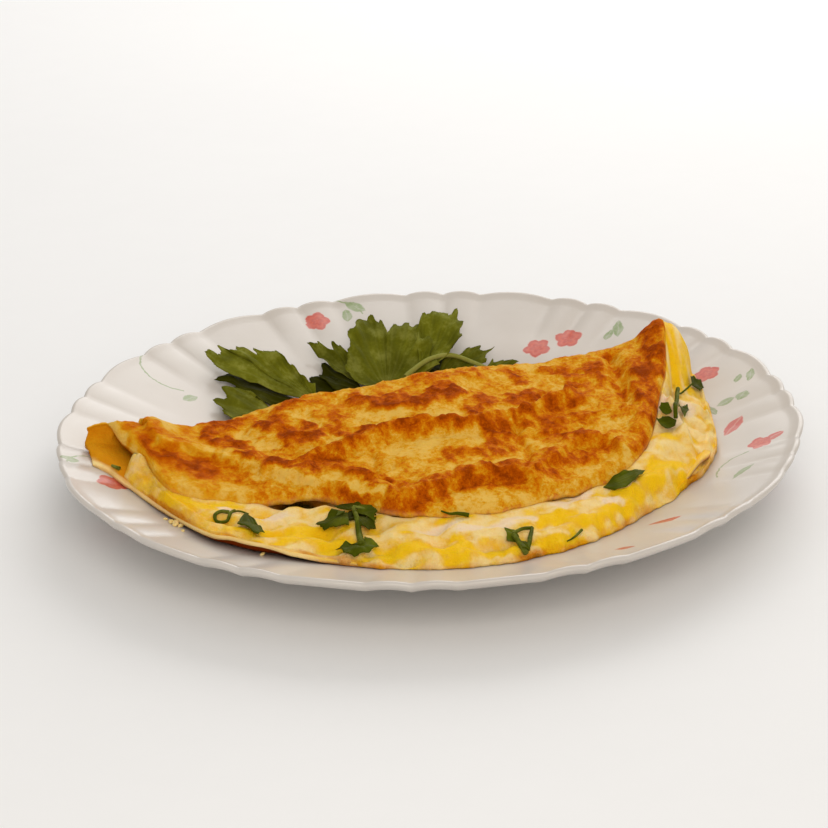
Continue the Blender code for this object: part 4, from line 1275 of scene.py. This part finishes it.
    whites = ovals(warp, out + 1.5 * grain(across / 5, out / 5, 69), WHITES)
    yolks = ovals(warp, out + 1.5 * grain(across / 5, out / 5, 70), YOLKS)
    cloud = 0.5 + 0.5 * grain(warp / 8, out / 4.5, 71) + 0.25 * grain(warp / 3, out / 2.6, 72)
    cream = np.clip(0.55 + 1.1 * (cloud - 0.5) - 0.8 * yolks + 0.5 * whites, 0, 1)
    yolk = np.clip(0.95 * yolks + 0.8 * ramp(cloud, 0.42, -0.3) * (1 - whites), 0, 1)
    cream = cream + (0.42 + 0.6 * streak - cream) * on_heap
    yolk = yolk + (0.55 - 0.5 * streak - yolk) * on_heap
    dull = ramp(across, -60, -14)
    cream = np.maximum(cream * (1 - 0.35 * dull), 0.75 * lump)
    seared_and_shade = ramp(from_edge, 1.8, -1.8) * np.clip(0.55 + 0.9 * grain(across / 7, 0.4, 75), 0, 1)
    # Painted shade: the pit under the flap's edge by the raised lip, and the front edge near along 20, are
    # pushed past 1.2 so that they are painted near-black; below that it is seared egg.
    seared_and_shade = seared_and_shade + bell(across, 20, 9) * ramp(from_edge, 2.6, -2.2) + 3.2 * near_gap * pit
    seared_and_shade = seared_and_shade + 0.22 * ramp(across, -74, -12) * (1 - 0.3 * ramp(from_edge, 1.8, 1.8))
    values = (("white", whites), ("cream", cream), ("yolk", yolk), ("seared_and_shade", seared_and_shade))
    data = [(label, [(value, value[:, chosen])]) for label, value in values]
    mesh = two_faced("soft_curds", [(placed(every, high), placed(chosen, low))], data)
    make_piece("soft_curds", mesh, ["soft_egg"], egg_material(finish))


def egg_material(finish):
    """Soft, moist egg: yellow, with cream and white curds, set gold at its edge, and near-black painted
    shade in the gap under the flap's edge and in places along its front edge.
    """
    material, tree, shader = new_material(
        "moist_egg", Roughness=0.38, Coat_Weight=0.02, Coat_Roughness=0.16, Specular_IOR_Level=0.05,
        Specular_Tint=(1.0, 0.88, 0.62, 1.0), Subsurface_Weight=0.2, Subsurface_Radius=(1.0, 0.6, 0.2),
        Subsurface_Scale=0.002)
    cloud = mottle(tree, "Mask", 240.0, 900.0, 0.3, 0.16)
    bits = mottle(tree, "Height", 520.0, 1700.0, 0.45)
    specks = mottle(tree, "Height", 1500.0, 3600.0, 0.5)
    swing = times(tree, minus(tree, bits, 0.5), 1.1)
    base = blend_colour(tree, cloud, finish.egg_yellow, finish.egg_gold)
    cream = ranged(tree, plus(tree, attribute(tree, "cream"), swing), 0.18, 0.84)
    base = blend_colour(tree, cream, base, finish.egg_cream)
    yolk = ranged(tree, plus(tree, attribute(tree, "yolk"), swing), 0.2, 0.86)
    base = blend_colour(tree, times(tree, yolk, 0.9), base, finish.egg_yolk)
    white = ranged(tree, plus(tree, attribute(tree, "white"), swing), 0.34, 0.9)
    base = blend_colour(tree, times(tree, white, 0.9), base, finish.egg_white)
    charred = ranged(tree, bits, 0.3, 0.7, 0.5, 1.0)
    seared_and_shade = maths(tree, "MULTIPLY", attribute(tree, "seared_and_shade"), charred, clamp=True)
    base = blend_colour(tree, seared_and_shade, base, finish.crust_orange)
    # Painted shade: where the value passes 1.2 the egg is painted near-black.
    painted_shade = ranged(tree, attribute(tree, "seared_and_shade"), 1.2, 1.8)
    base = blend_colour(tree, painted_shade, base, finish.leaf_dark)
    speckled = blend_colour(tree, ranged(tree, specks, 0.35, 0.6, 0.22, 0.0), base, finish.egg_gold)
    tree.links.new(speckled, shader.inputs["Base Color"])
    tree.links.new(ranged(tree, bits, 0.35, 0.65, 0.28, 0.48), shader.inputs["Roughness"])
    first = bump(tree, shader, bits, 0.0014, 0.8)
    bump(tree, shader, specks, 0.0005, 0.7, first)
    return material


# ------------------------------------------------------------------ parsley
def blade(base, tips, depth):
    """One blade flat on the table: a fan from its base to a notched edge, with its rib value and shares."""
    edge, ribs = [], []
    for (ax, ay, notch), (bx, by, _) in zip(tips, tips[1:]):
        share = np.linspace(0, 1, BLADE_STEPS + 1)[:-1]
        fold = 1 - np.abs(2 * share - 1)
        lobes = np.abs(np.sin(share * 3 * math.pi))
        from_tip = np.minimum(share, 1 - share) * math.hypot(bx - ax, by - ay)
        nicks = 0.04 * (1 - lobes) * np.sin(share * math.pi) ** 0.5
        pull = 1 - depth * notch * fold ** 1.2 - nicks - 0.03 * bell(from_tip, 0, TIP_WIDTH)
        x, y = ax + (bx - ax) * share - base[0], ay + (by - ay) * share - base[1]
        edge.append(np.stack([base[0] + x * pull, base[1] + y * pull], axis=1))
        ribs.append(from_tip)
    edge.append(np.array([tips[-1][:2]], float))
    ribs.append(np.zeros(1))
    edge, ribs = np.concatenate(edge), np.concatenate(ribs)
    shares = np.linspace(0, 1, BLADE_RINGS)[None, :]
    x = base[0] + (edge[:, :1] - base[0]) * shares
    y = base[1] + (edge[:, 1:] - base[1]) * shares
    rib = bell(ribs[:, None] * shares, 0, RIB_WIDTH) * (1 - 0.5 * shares)
    return x, y, rib, shares * np.ones_like(x)


def leaf_skins(blades, floor, seed, curl, place=None):
    """The two faces, the vein values and the painted shade values of several blades; floor gives the height
    under a place.
    """
    skins, veins, shades = [], [], []
    for k, (x0, y0, rest, lift, shade_and_tone, tips) in enumerate(blades):
        x, y, rib, shares = blade((x0, y0), tips, 1.0 if place else 1.6)
        ruffle = 1.5 * grain(x / 10 + 9 * k, y / 10, seed) + 0.8 * grain(x / 4, y / 4 + k, seed + 2)
        if place is not None:
            x, y = place(x, y)
        waves = (curl * ruffle - 0.2 * curl * rib) * shares ** 0.7
        height = floor(x, y) + rest + lift * shares ** 1.6 + waves
        half = LEAF_THICK * (1 - 0.55 * shares) / 2
        skins.append([np.stack([x, y, height + side], axis=2) for side in (half, -half)])
        veins.append((rib, rib))
        # Painted shade: each blade's shade value, darker towards its base, with random clouding.
        cloud = 1 + 0.4 * grain(x / 8 + k, y / 8, seed + 1)
        shade = np.clip(shade_and_tone * cloud * (0.62 + 0.38 * shares ** 0.8), 0, 1)
        shades.append((shade, shade))
    return skins, [("vein", veins), ("shade", shades)]


def stalk_tree(name):
    """Geometry Nodes that turn lines into slightly wavering stalks of each line's own thickness."""
    inputs = {"Geometry": None, "Steps": 24, "Sides": 10, "Waver": 0.0, "Waver Scale": 200.0, "Seed": 0.0,
              "Material": None}
    tree, given, made = new_group(name, inputs, ("Geometry",), "GeometryNodeTree")
    line = node(tree, "GeometryNodeMeshToCurve", {"Mesh": given["Geometry"]})
    line = node(tree, "GeometryNodeCurveSplineType", {"Curve": line}, spline_type="CATMULL_ROM")
    line = node(tree, "GeometryNodeResampleCurve", {"Curve": line, "Count": given["Steps"]})
    place = node(tree, "GeometryNodeInputPosition")
    noise = {"Vector": place, "W": given["Seed"], "Scale": given["Waver Scale"], "Detail": 1.0}
    cloud = node(tree, "ShaderNodeTexNoise", noise, "Color", noise_dimensions="4D")
    moved = offset(tree, cloud, given["Waver"])
    line = node(tree, "GeometryNodeSetPosition", {"Geometry": line, "Offset": moved})
    thick = node(tree, "GeometryNodeInputNamedAttribute", {"Name": "thick"}, data_type="FLOAT")
    ring = node(tree, "GeometryNodeCurvePrimitiveCircle", {"Resolution": given["Sides"], "Radius": 1.0})
    swept = {"Curve": line, "Profile Curve": ring, "Scale": thick, "Fill Caps": True}
    tube = node(tree, "GeometryNodeCurveToMesh", swept)
    return finished_tree(tree, tube, given, made)


def build_stalks(name, lines, floor, seed, material):
    """Stalks along lines of (x, y, height over the floor), each from one radius to another."""
    points, edges, thick = [], [], []
    for line, start, stop in lines:
        first = len(points)
        spots = np.array(line, float)
        heights = floor(spots[:, 0], spots[:, 1]) + spots[:, 2]
        points += np.stack([spots[:, 0], spots[:, 1], heights], axis=1).tolist()
        edges += [(first + k, first + k + 1) for k in range(len(line) - 1)]
        thick += np.linspace(start * MM, stop * MM, len(line)).tolist()
    mesh = bpy.data.meshes.new(name + "_lines")
    mesh.from_pydata((np.array(points) * MM).tolist(), edges, [])
    mesh.attributes.new("thick", "FLOAT", "POINT").data.foreach_set("value", thick)
    values = {"Waver": 0.0006, "Waver Scale": 180.0, "Seed": float(seed), "Material": material}
    make_piece(name, grown(name, mesh, group_named("Stalks", stalk_tree), values), [])


def build_garnish(sizes, finish):
    """The sprig behind the omelette: overlapping toothed blades off the plate, and their stalks."""
    material = leaf_material("parsley_leaf", finish.leaf_green, finish.leaf_light, finish.leaf_dark, 0.5)

    def floor(x, y):
        return plate_height(np.hypot(x, y))

    for number, (name, blades) in enumerate(GARNISH.items()):
        skins, data = leaf_skins(blades, floor, GARNISH_SEED + 3 * number, sizes.leaf_curl / MM)
        mesh = two_faced(name + "_blades", skins, data)
        make_piece(name + "_blades", mesh, [name], material)
    pale, green = finish.leaf_light, finish.leaf_green
    stem = leaf_material("parsley_stalk", pale, pale, green, 0.45, False)
    build_stalks("parsley_stalks", GARNISH_STALKS, floor, GARNISH_STALK_SEED, stem)


# The side of a cell in the map of heights under the herbs, and a height below everything.
MAP_CELL = 0.9
NOTHING_THERE = -99.0


def surface_under(pieces):
    """A function that gives the height of the finished pieces under a place."""
    clouds = []
    for piece in pieces:
        points = np.zeros(len(piece.data.vertices) * 3)
        piece.data.vertices.foreach_get("co", points)
        clouds.append(points.reshape(-1, 3) / MM)
    cloud = np.concatenate(clouds)
    low = cloud[:, :2].min(0) - 2 * MAP_CELL
    size = np.ceil((cloud[:, :2].max(0) - low) / MAP_CELL).astype(int) + 3
    heights = np.full(size, NOTHING_THERE)
    spots = np.floor((cloud[:, :2] - low) / MAP_CELL).astype(int)
    np.maximum.at(heights, (spots[:, 0], spots[:, 1]), cloud[:, 2])
    around = [(i, j) for i in (-1, 0, 1) for j in (-1, 0, 1)]
    wide = np.maximum.reduce([np.roll(heights, step, (0, 1)) for step in around])
    even = sum(np.roll(wide, step, (0, 1)) for step in around) / len(around)

    def height(x, y):
        column = np.clip((np.asarray(x) - low[0]) / MAP_CELL - 0.5, 1, size[0] - 3)
        row = np.clip((np.asarray(y) - low[1]) / MAP_CELL - 0.5, 1, size[1] - 3)
        i, j = column.astype(int), row.astype(int)
        u, v = column - i, row - j
        near = even[i, j] * (1 - u) + even[i + 1, j] * u
        far = even[i, j + 1] * (1 - u) + even[i + 1, j + 1] * u
        return near * (1 - v) + far * v

    return height


def build_herbs(sizes, finish, pieces):
    """Wilted leaves and slivers of stalk that lie in the soft egg."""
    # For the herbs, the fresh leaf green is the painted sheen and the leaf shade colour is the painted
    # shade.
    material = leaf_material("wilted_herb", finish.herb_green, finish.leaf_green, finish.leaf_dark, 0.35)
    without_sheet = surface_under(pieces[:2])
    with_sheet = surface_under(pieces)
    for number, (name, blades) in enumerate(HERBS.items()):
        floor = with_sheet if name in HERBS_ON_SHEET else without_sheet
        skins, data = leaf_skins(blades, floor, HERB_SEED + 3 * number, sizes.leaf_curl / MM * 0.5, to_plate)
        mesh = two_faced(name + "_blades", skins, data)
        make_piece(name + "_blades", mesh, [name], material)
    pale, dark = finish.leaf_light, finish.leaf_dark
    stem = leaf_material("wilted_stalk", finish.herb_green, pale, dark, 0.35, False)
    bundles = (("herb_stalks", HERB_STALKS, with_sheet), ("cluster_stalks", CLUSTER_STALKS, without_sheet))
    for name, stalks, floor in bundles:
        lines = [([(*to_plate(along, out), up) for along, out, up in line], start, stop)
                 for line, start, stop in stalks]
        build_stalks(name, lines, floor, HERB_STALK_SEED, stem)


def crumb_tree(name):
    """Geometry Nodes that put an uneven crumb on every point, each of that point's own size."""
    inputs = {"Geometry": None, "Uneven": 0.0, "Seed": 0, "Material": None}
    tree, given, made = new_group(name, inputs, ("Geometry",), "GeometryNodeTree")
    ball = node(tree, "GeometryNodeMeshIcoSphere", {"Radius": 1.0, "Subdivisions": 3})
    thick = node(tree, "GeometryNodeInputNamedAttribute", {"Name": "thick"}, data_type="FLOAT")
    size = scaled(tree, (1.3, 0.9, 0.6), thick)
    turn = node(tree, "FunctionNodeRandomValue", {"Max": (0.3, 0.3, FULL_TURN), "Seed": given["Seed"]},
                data_type="FLOAT_VECTOR")
    placed = {"Points": given["Geometry"], "Instance": ball, "Scale": size, "Rotation": turn}
    many = node(tree, "GeometryNodeInstanceOnPoints", placed)
    real = node(tree, "GeometryNodeRealizeInstances", {"Geometry": many})
    cloud = node(tree, "ShaderNodeTexNoise", {"Scale": 900.0, "Detail": 2.0}, "Color")
    moved = offset(tree, cloud, given["Uneven"])
    rough = node(tree, "GeometryNodeSetPosition", {"Geometry": real, "Offset": moved})
    pale = node(tree, "GeometryNodeStoreNamedAttribute", {"Geometry": rough, "Name": "cream", "Value": 0.9})
    return finished_tree(tree, pale, given, made)


def build_crumbs(finish):
    """A few crumbs of set egg that dropped on the plate beside the fold."""
    along, out, size = np.array(CRUMBS, float).T
    x, y = to_plate(along, out)
    height = plate_height(np.hypot(x, y)) + 0.6 * size
    mesh = bpy.data.meshes.new("crumb_places")
    mesh.from_pydata((np.stack([x, y, height], axis=1) * MM).tolist(), [], [])
    mesh.attributes.new("thick", "FLOAT", "POINT").data.foreach_set("value", (size * MM).astype(np.float32))
    material = bpy.data.materials.get("moist_egg") or egg_material(finish)
    values = {"Uneven": 0.0009, "Seed": 3, "Material": material}
    made = grown("egg_crumbs", mesh, group_named("Crumbs", crumb_tree), values)
    make_piece("egg_crumbs", made, [])


def leaf_material(name, green, light, dark, roughness, flat=True):
    """Leaf: mottled green with paler ribs, with painted shade from its shade values and a painted sheen on
    the paler mottle. A stalk has no ribs or shade values of its own.
    """
    material, tree, shader = new_material(name, Roughness=roughness, Specular_IOR_Level=0.02,
                                          Specular_Tint=(0.85, 0.95, 0.45, 1.0))
    cloud = mottle(tree, "Mask", 120.0, 900.0, 0.25)
    fine = mottle(tree, "Height", 900.0, 2400.0, 0.5)
    shade = attribute(tree, "shade") if flat else ranged(tree, fine, 0.3, 0.7, 0.7, 1.0)
    # Painted shade: the shade values darken the green towards the dark colour.
    shade_and_tone = times(tree, ranged(tree, cloud, 0.0, 1.0, 0.55, 1.0), shade)
    base = blend_colour(tree, shade_and_tone, dark, green)
    # Painted sheen: paler where the mottle is high, less where shade is painted.
    sheen = times(tree, ranged(tree, cloud, 0.45, 1.0, 0.0, 0.5), shade)
    base = blend_colour(tree, sheen, base, light)
    base = blend_colour(tree, times(tree, attribute(tree, "vein"), 0.1), base, light)
    tree.links.new(base, shader.inputs["Base Color"])
    bump(tree, shader, fine, 0.0003, 0.5)
    return material


# ------------------------------------------------------------------ stage
# In metres: half the floor's width, what the lights point at, a light's side, and the camera's near limit.
FLOOR_HALF = 1.6
LIGHT_AIM = (0, 0, 0.02)
LIGHT_SIDE = 1.0
CLIP_START = 0.05
SENSOR_WIDTH_MM = 36.0


def add_light(name, place, power, tint):
    """Add a soft square light aimed at the omelette."""
    data = bpy.data.lights.new(name, "AREA")
    data.shape = "SQUARE"
    data.size = LIGHT_SIDE
    data.energy = power
    data.color = tint
    made = put(name, data)
    made.location = place
    made.rotation_euler = (Vector(LIGHT_AIM) - Vector(place)).to_track_quat("-Z", "Y").to_euler()


def build_stage(stage, finish):
    """Floor, lights and camera."""
    mesh = bpy.data.meshes.new("floor")
    near, far = -FLOOR_HALF, 2 * FLOOR_HALF
    corners = [(-FLOOR_HALF, near, 0), (FLOOR_HALF, near, 0), (FLOOR_HALF, far, 0), (-FLOOR_HALF, far, 0)]
    mesh.from_pydata(corners, [], [(0, 1, 2, 3)])
    floor = put("floor", mesh)
    material, tree, shader = new_material("pale_floor", Roughness=0.9)
    cloud = mottle(tree, "Mask", 6.0, 60.0, sharpness=0.3)
    tint = blend_colour(tree, cloud, finish.floor, finish.floor_shade)
    tree.links.new(tint, shader.inputs["Base Color"])
    mesh.materials.append(material)
    world = bpy.data.worlds.new("Studio")
    bpy.context.scene.world = world
    world.use_nodes = True
    sky = world.node_tree.nodes["Background"]
    sky.inputs["Color"].default_value = (1.0, 0.98, 0.95, 1.0)
    sky.inputs["Strength"].default_value = stage.sky_strength
    add_light("window", (0.35, 0.95, 0.7), stage.key_power, (1.0, 0.985, 0.97))
    add_light("front_fill", (0.15, -1.3, 0.9), stage.fill_power, (1.0, 0.93, 0.84))
    aim = Vector((0, 0, RIM_HEIGHT * MM))
    back = Vector((0, -math.cos(stage.elevation), math.sin(stage.elevation)))
    data = bpy.data.cameras.new("camera")
    data.lens = stage.focal_length
    data.sensor_width = SENSOR_WIDTH_MM
    data.shift_x, data.shift_y = stage.shift_right, stage.shift_up
    data.clip_start = CLIP_START
    camera = put("camera", data)
    look = (-back).to_track_quat("-Z", "Y").to_matrix() @ Matrix.Rotation(-stage.roll, 3, "Z")
    camera.matrix_world = Matrix.Translation(aim + back * stage.distance) @ look.to_4x4()
    bpy.context.scene.camera = camera
    bpy.context.scene.view_settings.view_transform = "Standard"


# ------------------------------------------------------------------ settings
def number_setting(label, about, default, **others):
    """A number."""
    return bpy.props.FloatProperty(name=label, description=about, default=default, **others)


def length_setting(label, about, default):
    """A length in metres, shown in the scene's units."""
    return number_setting(label, about, default, unit="LENGTH", subtype="DISTANCE", precision=5)


def angle_setting(label, about, degrees):
    """An angle."""
    return number_setting(label, about, math.radians(degrees), unit="ROTATION", subtype="ANGLE")


def depth_setting(label, about):
    """How strong a relief is, where 1 is its usual strength."""
    return number_setting(label, about, 1.0, min=0.0, max=2.0, subtype="FACTOR")


def count_setting(label, about, default, low, high):
    """A whole number."""
    return bpy.props.IntProperty(name=label, description=about, default=default, min=low, max=high)


def tint_setting(label, about, default):
    """A colour."""
    return bpy.props.FloatVectorProperty(
        name=label, description=about, default=default, size=3, min=0.0, max=1.0, subtype="COLOR")


class PlateSizes(bpy.types.PropertyGroup):
    """Sizes of the plate."""

    wall: length_setting("Wall", "Thickness of the rim's wall", 0.003)
    wide_swell: length_setting("Wide lobe", "How far a wide lobe stands out of the rim", 0.0015)
    narrow_swell: length_setting("Narrow lobe", "How far a narrow lobe stands out of the rim", 0.00075)
    flute_lift: length_setting("Flutes", "How high the flutes rise under the lobes", 0.0012)
    lobe_groups: count_setting("Lobe groups", "Groups of one wide and two narrow lobes", 14, 3, 40)
    turn_steps: count_setting("Steps round", "Steps in one turn of the plate", 448, 56, 1000)


class EggSizes(bpy.types.PropertyGroup):
    """Sizes of the omelette's relief."""

    fold_depth: depth_setting("Fold depth", "Strength of ledges, ridges and creases")
    crumple_depth: depth_setting("Crumple depth", "Strength of the crust's fine relief")
    curd_depth: depth_setting("Curd depth", "Strength of the soft egg's lumps")


class LeafSizes(bpy.types.PropertyGroup):
    """Sizes of the parsley."""

    leaf_curl: length_setting("Leaf curl", "How far a leaf's edge ruffles up and down", 0.0012)


class Finishes(bpy.types.PropertyGroup):
    """Colours of every finish."""

    glaze: tint_setting("Glaze", "The plate's warm white", (0.6, 0.555, 0.505))
    glaze_shade: tint_setting("Glaze shade", "The plate's white where the glaze pools", (0.56, 0.51, 0.455))
    print_red: tint_setting("Print red", "The print's deeper red", (0.5, 0.035, 0.007))
    print_pink: tint_setting("Print pink", "The print's thin red", (0.65, 0.095, 0.028))
    print_green: tint_setting("Print green", "The print's leaves and stems", (0.15, 0.25, 0.035))
    crust_pale: tint_setting("Pale crust", "Crust that lay clear of the pan", (0.8, 0.49, 0.09))
    crust_gold: tint_setting("Gold crust", "Lightly fried crust", (0.72, 0.34, 0.011))
    crust_orange: tint_setting("Orange crust", "Fried crust", (0.64, 0.195, 0.002))
    crust_brown: tint_setting("Brown crust", "Browned crust", (0.51, 0.094, 0.0008))
    # Also the painted shade on the sheet's underside near its lower edge.
    crust_dark: tint_setting("Dark crust", "The darkest spots", (0.27, 0.04, 0.0005))
    egg_yellow: tint_setting("Soft egg", "Soft egg", (0.99, 0.63, 0.045))
    egg_gold: tint_setting("Set egg", "Egg that has set", (0.88, 0.47, 0.03))
    egg_yolk: tint_setting("Yolk", "Bright yolk", (1.0, 0.6, 0.003))
    egg_white: tint_setting("Egg white", "Set white of egg", (0.97, 0.75, 0.52))
    egg_cream: tint_setting("Egg cream", "White and yolk set together", (0.99, 0.73, 0.31))
    leaf_green: tint_setting("Leaf", "Fresh parsley", (0.18, 0.185, 0.01))
    # Also the painted sheen on the garnish's leaves and on the stalks.
    leaf_light: tint_setting("Leaf ribs", "Parsley's ribs and stalks", (0.3, 0.3, 0.075))
    # The dark end of the leaves' painted shade and the near-black painted shade in the egg's gap; in the
    # wilted stalks, their darker random mottle.
    leaf_dark: tint_setting("Leaf shade", "Parsley's darker parts", (0.025, 0.026, 0.0008))
    herb_green: tint_setting("Wilted leaf", "Parsley in the egg", (0.095, 0.12, 0.004))
    floor: tint_setting("Floor", "The floor", (0.88, 0.88, 0.88))
    floor_shade: tint_setting("Floor shade", "The floor's faint clouding", (0.86, 0.86, 0.86))


class StageSettings(bpy.types.PropertyGroup):
    """Camera and lights."""

    distance: length_setting("Distance", "Camera to the middle of the rim", 1.1217)
    elevation: angle_setting("Elevation", "How far the camera looks down", 22.92)
    roll: angle_setting("Roll", "How far the camera leans over", 1.825)
    focal_length: number_setting("Focal length", "Lens in millimetres", 139.23, unit="CAMERA")
    shift_right: number_setting("Shift right", "Sideways lens shift", -0.0176, subtype="FACTOR")
    shift_up: number_setting("Shift up", "Upward lens shift", 0.0096, subtype="FACTOR")
    key_power: number_setting("Key light", "Power of the window light", 7.4, unit="POWER")
    fill_power: number_setting("Fill light", "Power of the front light", 8.8, unit="POWER")
    sky_strength: number_setting("Sky", "Strength of the light all round", 0.6, subtype="FACTOR")


# ------------------------------------------------------------------ operators
class OMELETTE_OT_plate(bpy.types.Operator):
    """Make the scalloped plate with its sprigged print"""

    bl_idname = "omelette.plate"
    bl_label = "Plate"

    def execute(self, context):
        build_plate(context.scene.plate_sizes, context.scene.finishes)
        return {"FINISHED"}


class OMELETTE_OT_sheet(bpy.types.Operator):
    """Make the folded, browned sheet of egg"""

    bl_idname = "omelette.sheet"
    bl_label = "Folded sheet"

    def execute(self, context):
        build_sheet(context.scene.egg_sizes, context.scene.finishes)
        return {"FINISHED"}


class OMELETTE_OT_egg(bpy.types.Operator):
    """Make the soft egg inside the fold"""

    bl_idname = "omelette.soft_egg"
    bl_label = "Soft egg"

    def execute(self, context):
        build_egg(context.scene.egg_sizes, context.scene.finishes)
        return {"FINISHED"}


class OMELETTE_OT_garnish(bpy.types.Operator):
    """Make the parsley sprig behind the omelette"""

    bl_idname = "omelette.garnish"
    bl_label = "Parsley sprig"

    def execute(self, context):
        build_garnish(context.scene.leaf_sizes, context.scene.finishes)
        return {"FINISHED"}


class OMELETTE_OT_herbs(bpy.types.Operator):
    """Make the parsley leaves in the soft egg"""

    bl_idname = "omelette.herbs"
    bl_label = "Herbs in the egg"

    def execute(self, context):
        pieces = [bpy.data.objects[name] for name in ("soft_curds", "fluted_plate", "omelette_sheet")]
        build_herbs(context.scene.leaf_sizes, context.scene.finishes, pieces)
        return {"FINISHED"}


class OMELETTE_OT_crumbs(bpy.types.Operator):
    """Make the few crumbs of egg on the plate"""

    bl_idname = "omelette.crumbs"
    bl_label = "Crumbs"

    def execute(self, context):
        build_crumbs(context.scene.finishes)
        return {"FINISHED"}


class OMELETTE_OT_stage(bpy.types.Operator):
    """Set up the floor, the soft lights and the camera"""

    bl_idname = "omelette.stage"
    bl_label = "Stage"

    def execute(self, context):
        build_stage(context.scene.stage_settings, context.scene.finishes)
        return {"FINISHED"}


STEPS = (OMELETTE_OT_plate, OMELETTE_OT_sheet, OMELETTE_OT_egg, OMELETTE_OT_garnish, OMELETTE_OT_herbs,
         OMELETTE_OT_crumbs, OMELETTE_OT_stage)
SETTINGS = {"plate_sizes": PlateSizes, "egg_sizes": EggSizes, "leaf_sizes": LeafSizes, "finishes": Finishes,
            "stage_settings": StageSettings}


class OMELETTE_PT_panel(bpy.types.Panel):
    """Lists the steps that make the omelette"""

    bl_label = "Omelette"
    bl_idname = "OMELETTE_PT_panel"
    bl_space_type = "VIEW_3D"
    bl_region_type = "UI"
    bl_category = "Omelette"

    def draw(self, context):
        for step in STEPS:
            self.layout.operator(step.bl_idname)
        for name in SETTINGS:
            box = self.layout.box()
            group = getattr(context.scene, name)
            for label in group.bl_rna.properties.keys():
                if label not in ("rna_type", "name"):
                    box.prop(group, label)


def register():
    for kind in (*SETTINGS.values(), *STEPS, OMELETTE_PT_panel):
        bpy.utils.register_class(kind)
    for name, kind in SETTINGS.items():
        setattr(bpy.types.Scene, name, bpy.props.PointerProperty(type=kind))


def unregister():
    for name in SETTINGS:
        delattr(bpy.types.Scene, name)
    for kind in reversed((*SETTINGS.values(), *STEPS, OMELETTE_PT_panel)):
        bpy.utils.unregister_class(kind)


def main():
    register()
    bpy.ops.omelette.plate()
    bpy.ops.omelette.sheet()
    bpy.ops.omelette.soft_egg()
    bpy.ops.omelette.garnish()
    bpy.ops.omelette.herbs()
    bpy.ops.omelette.crumbs()
    bpy.ops.omelette.stage()


if __name__ == "__main__":
    main()
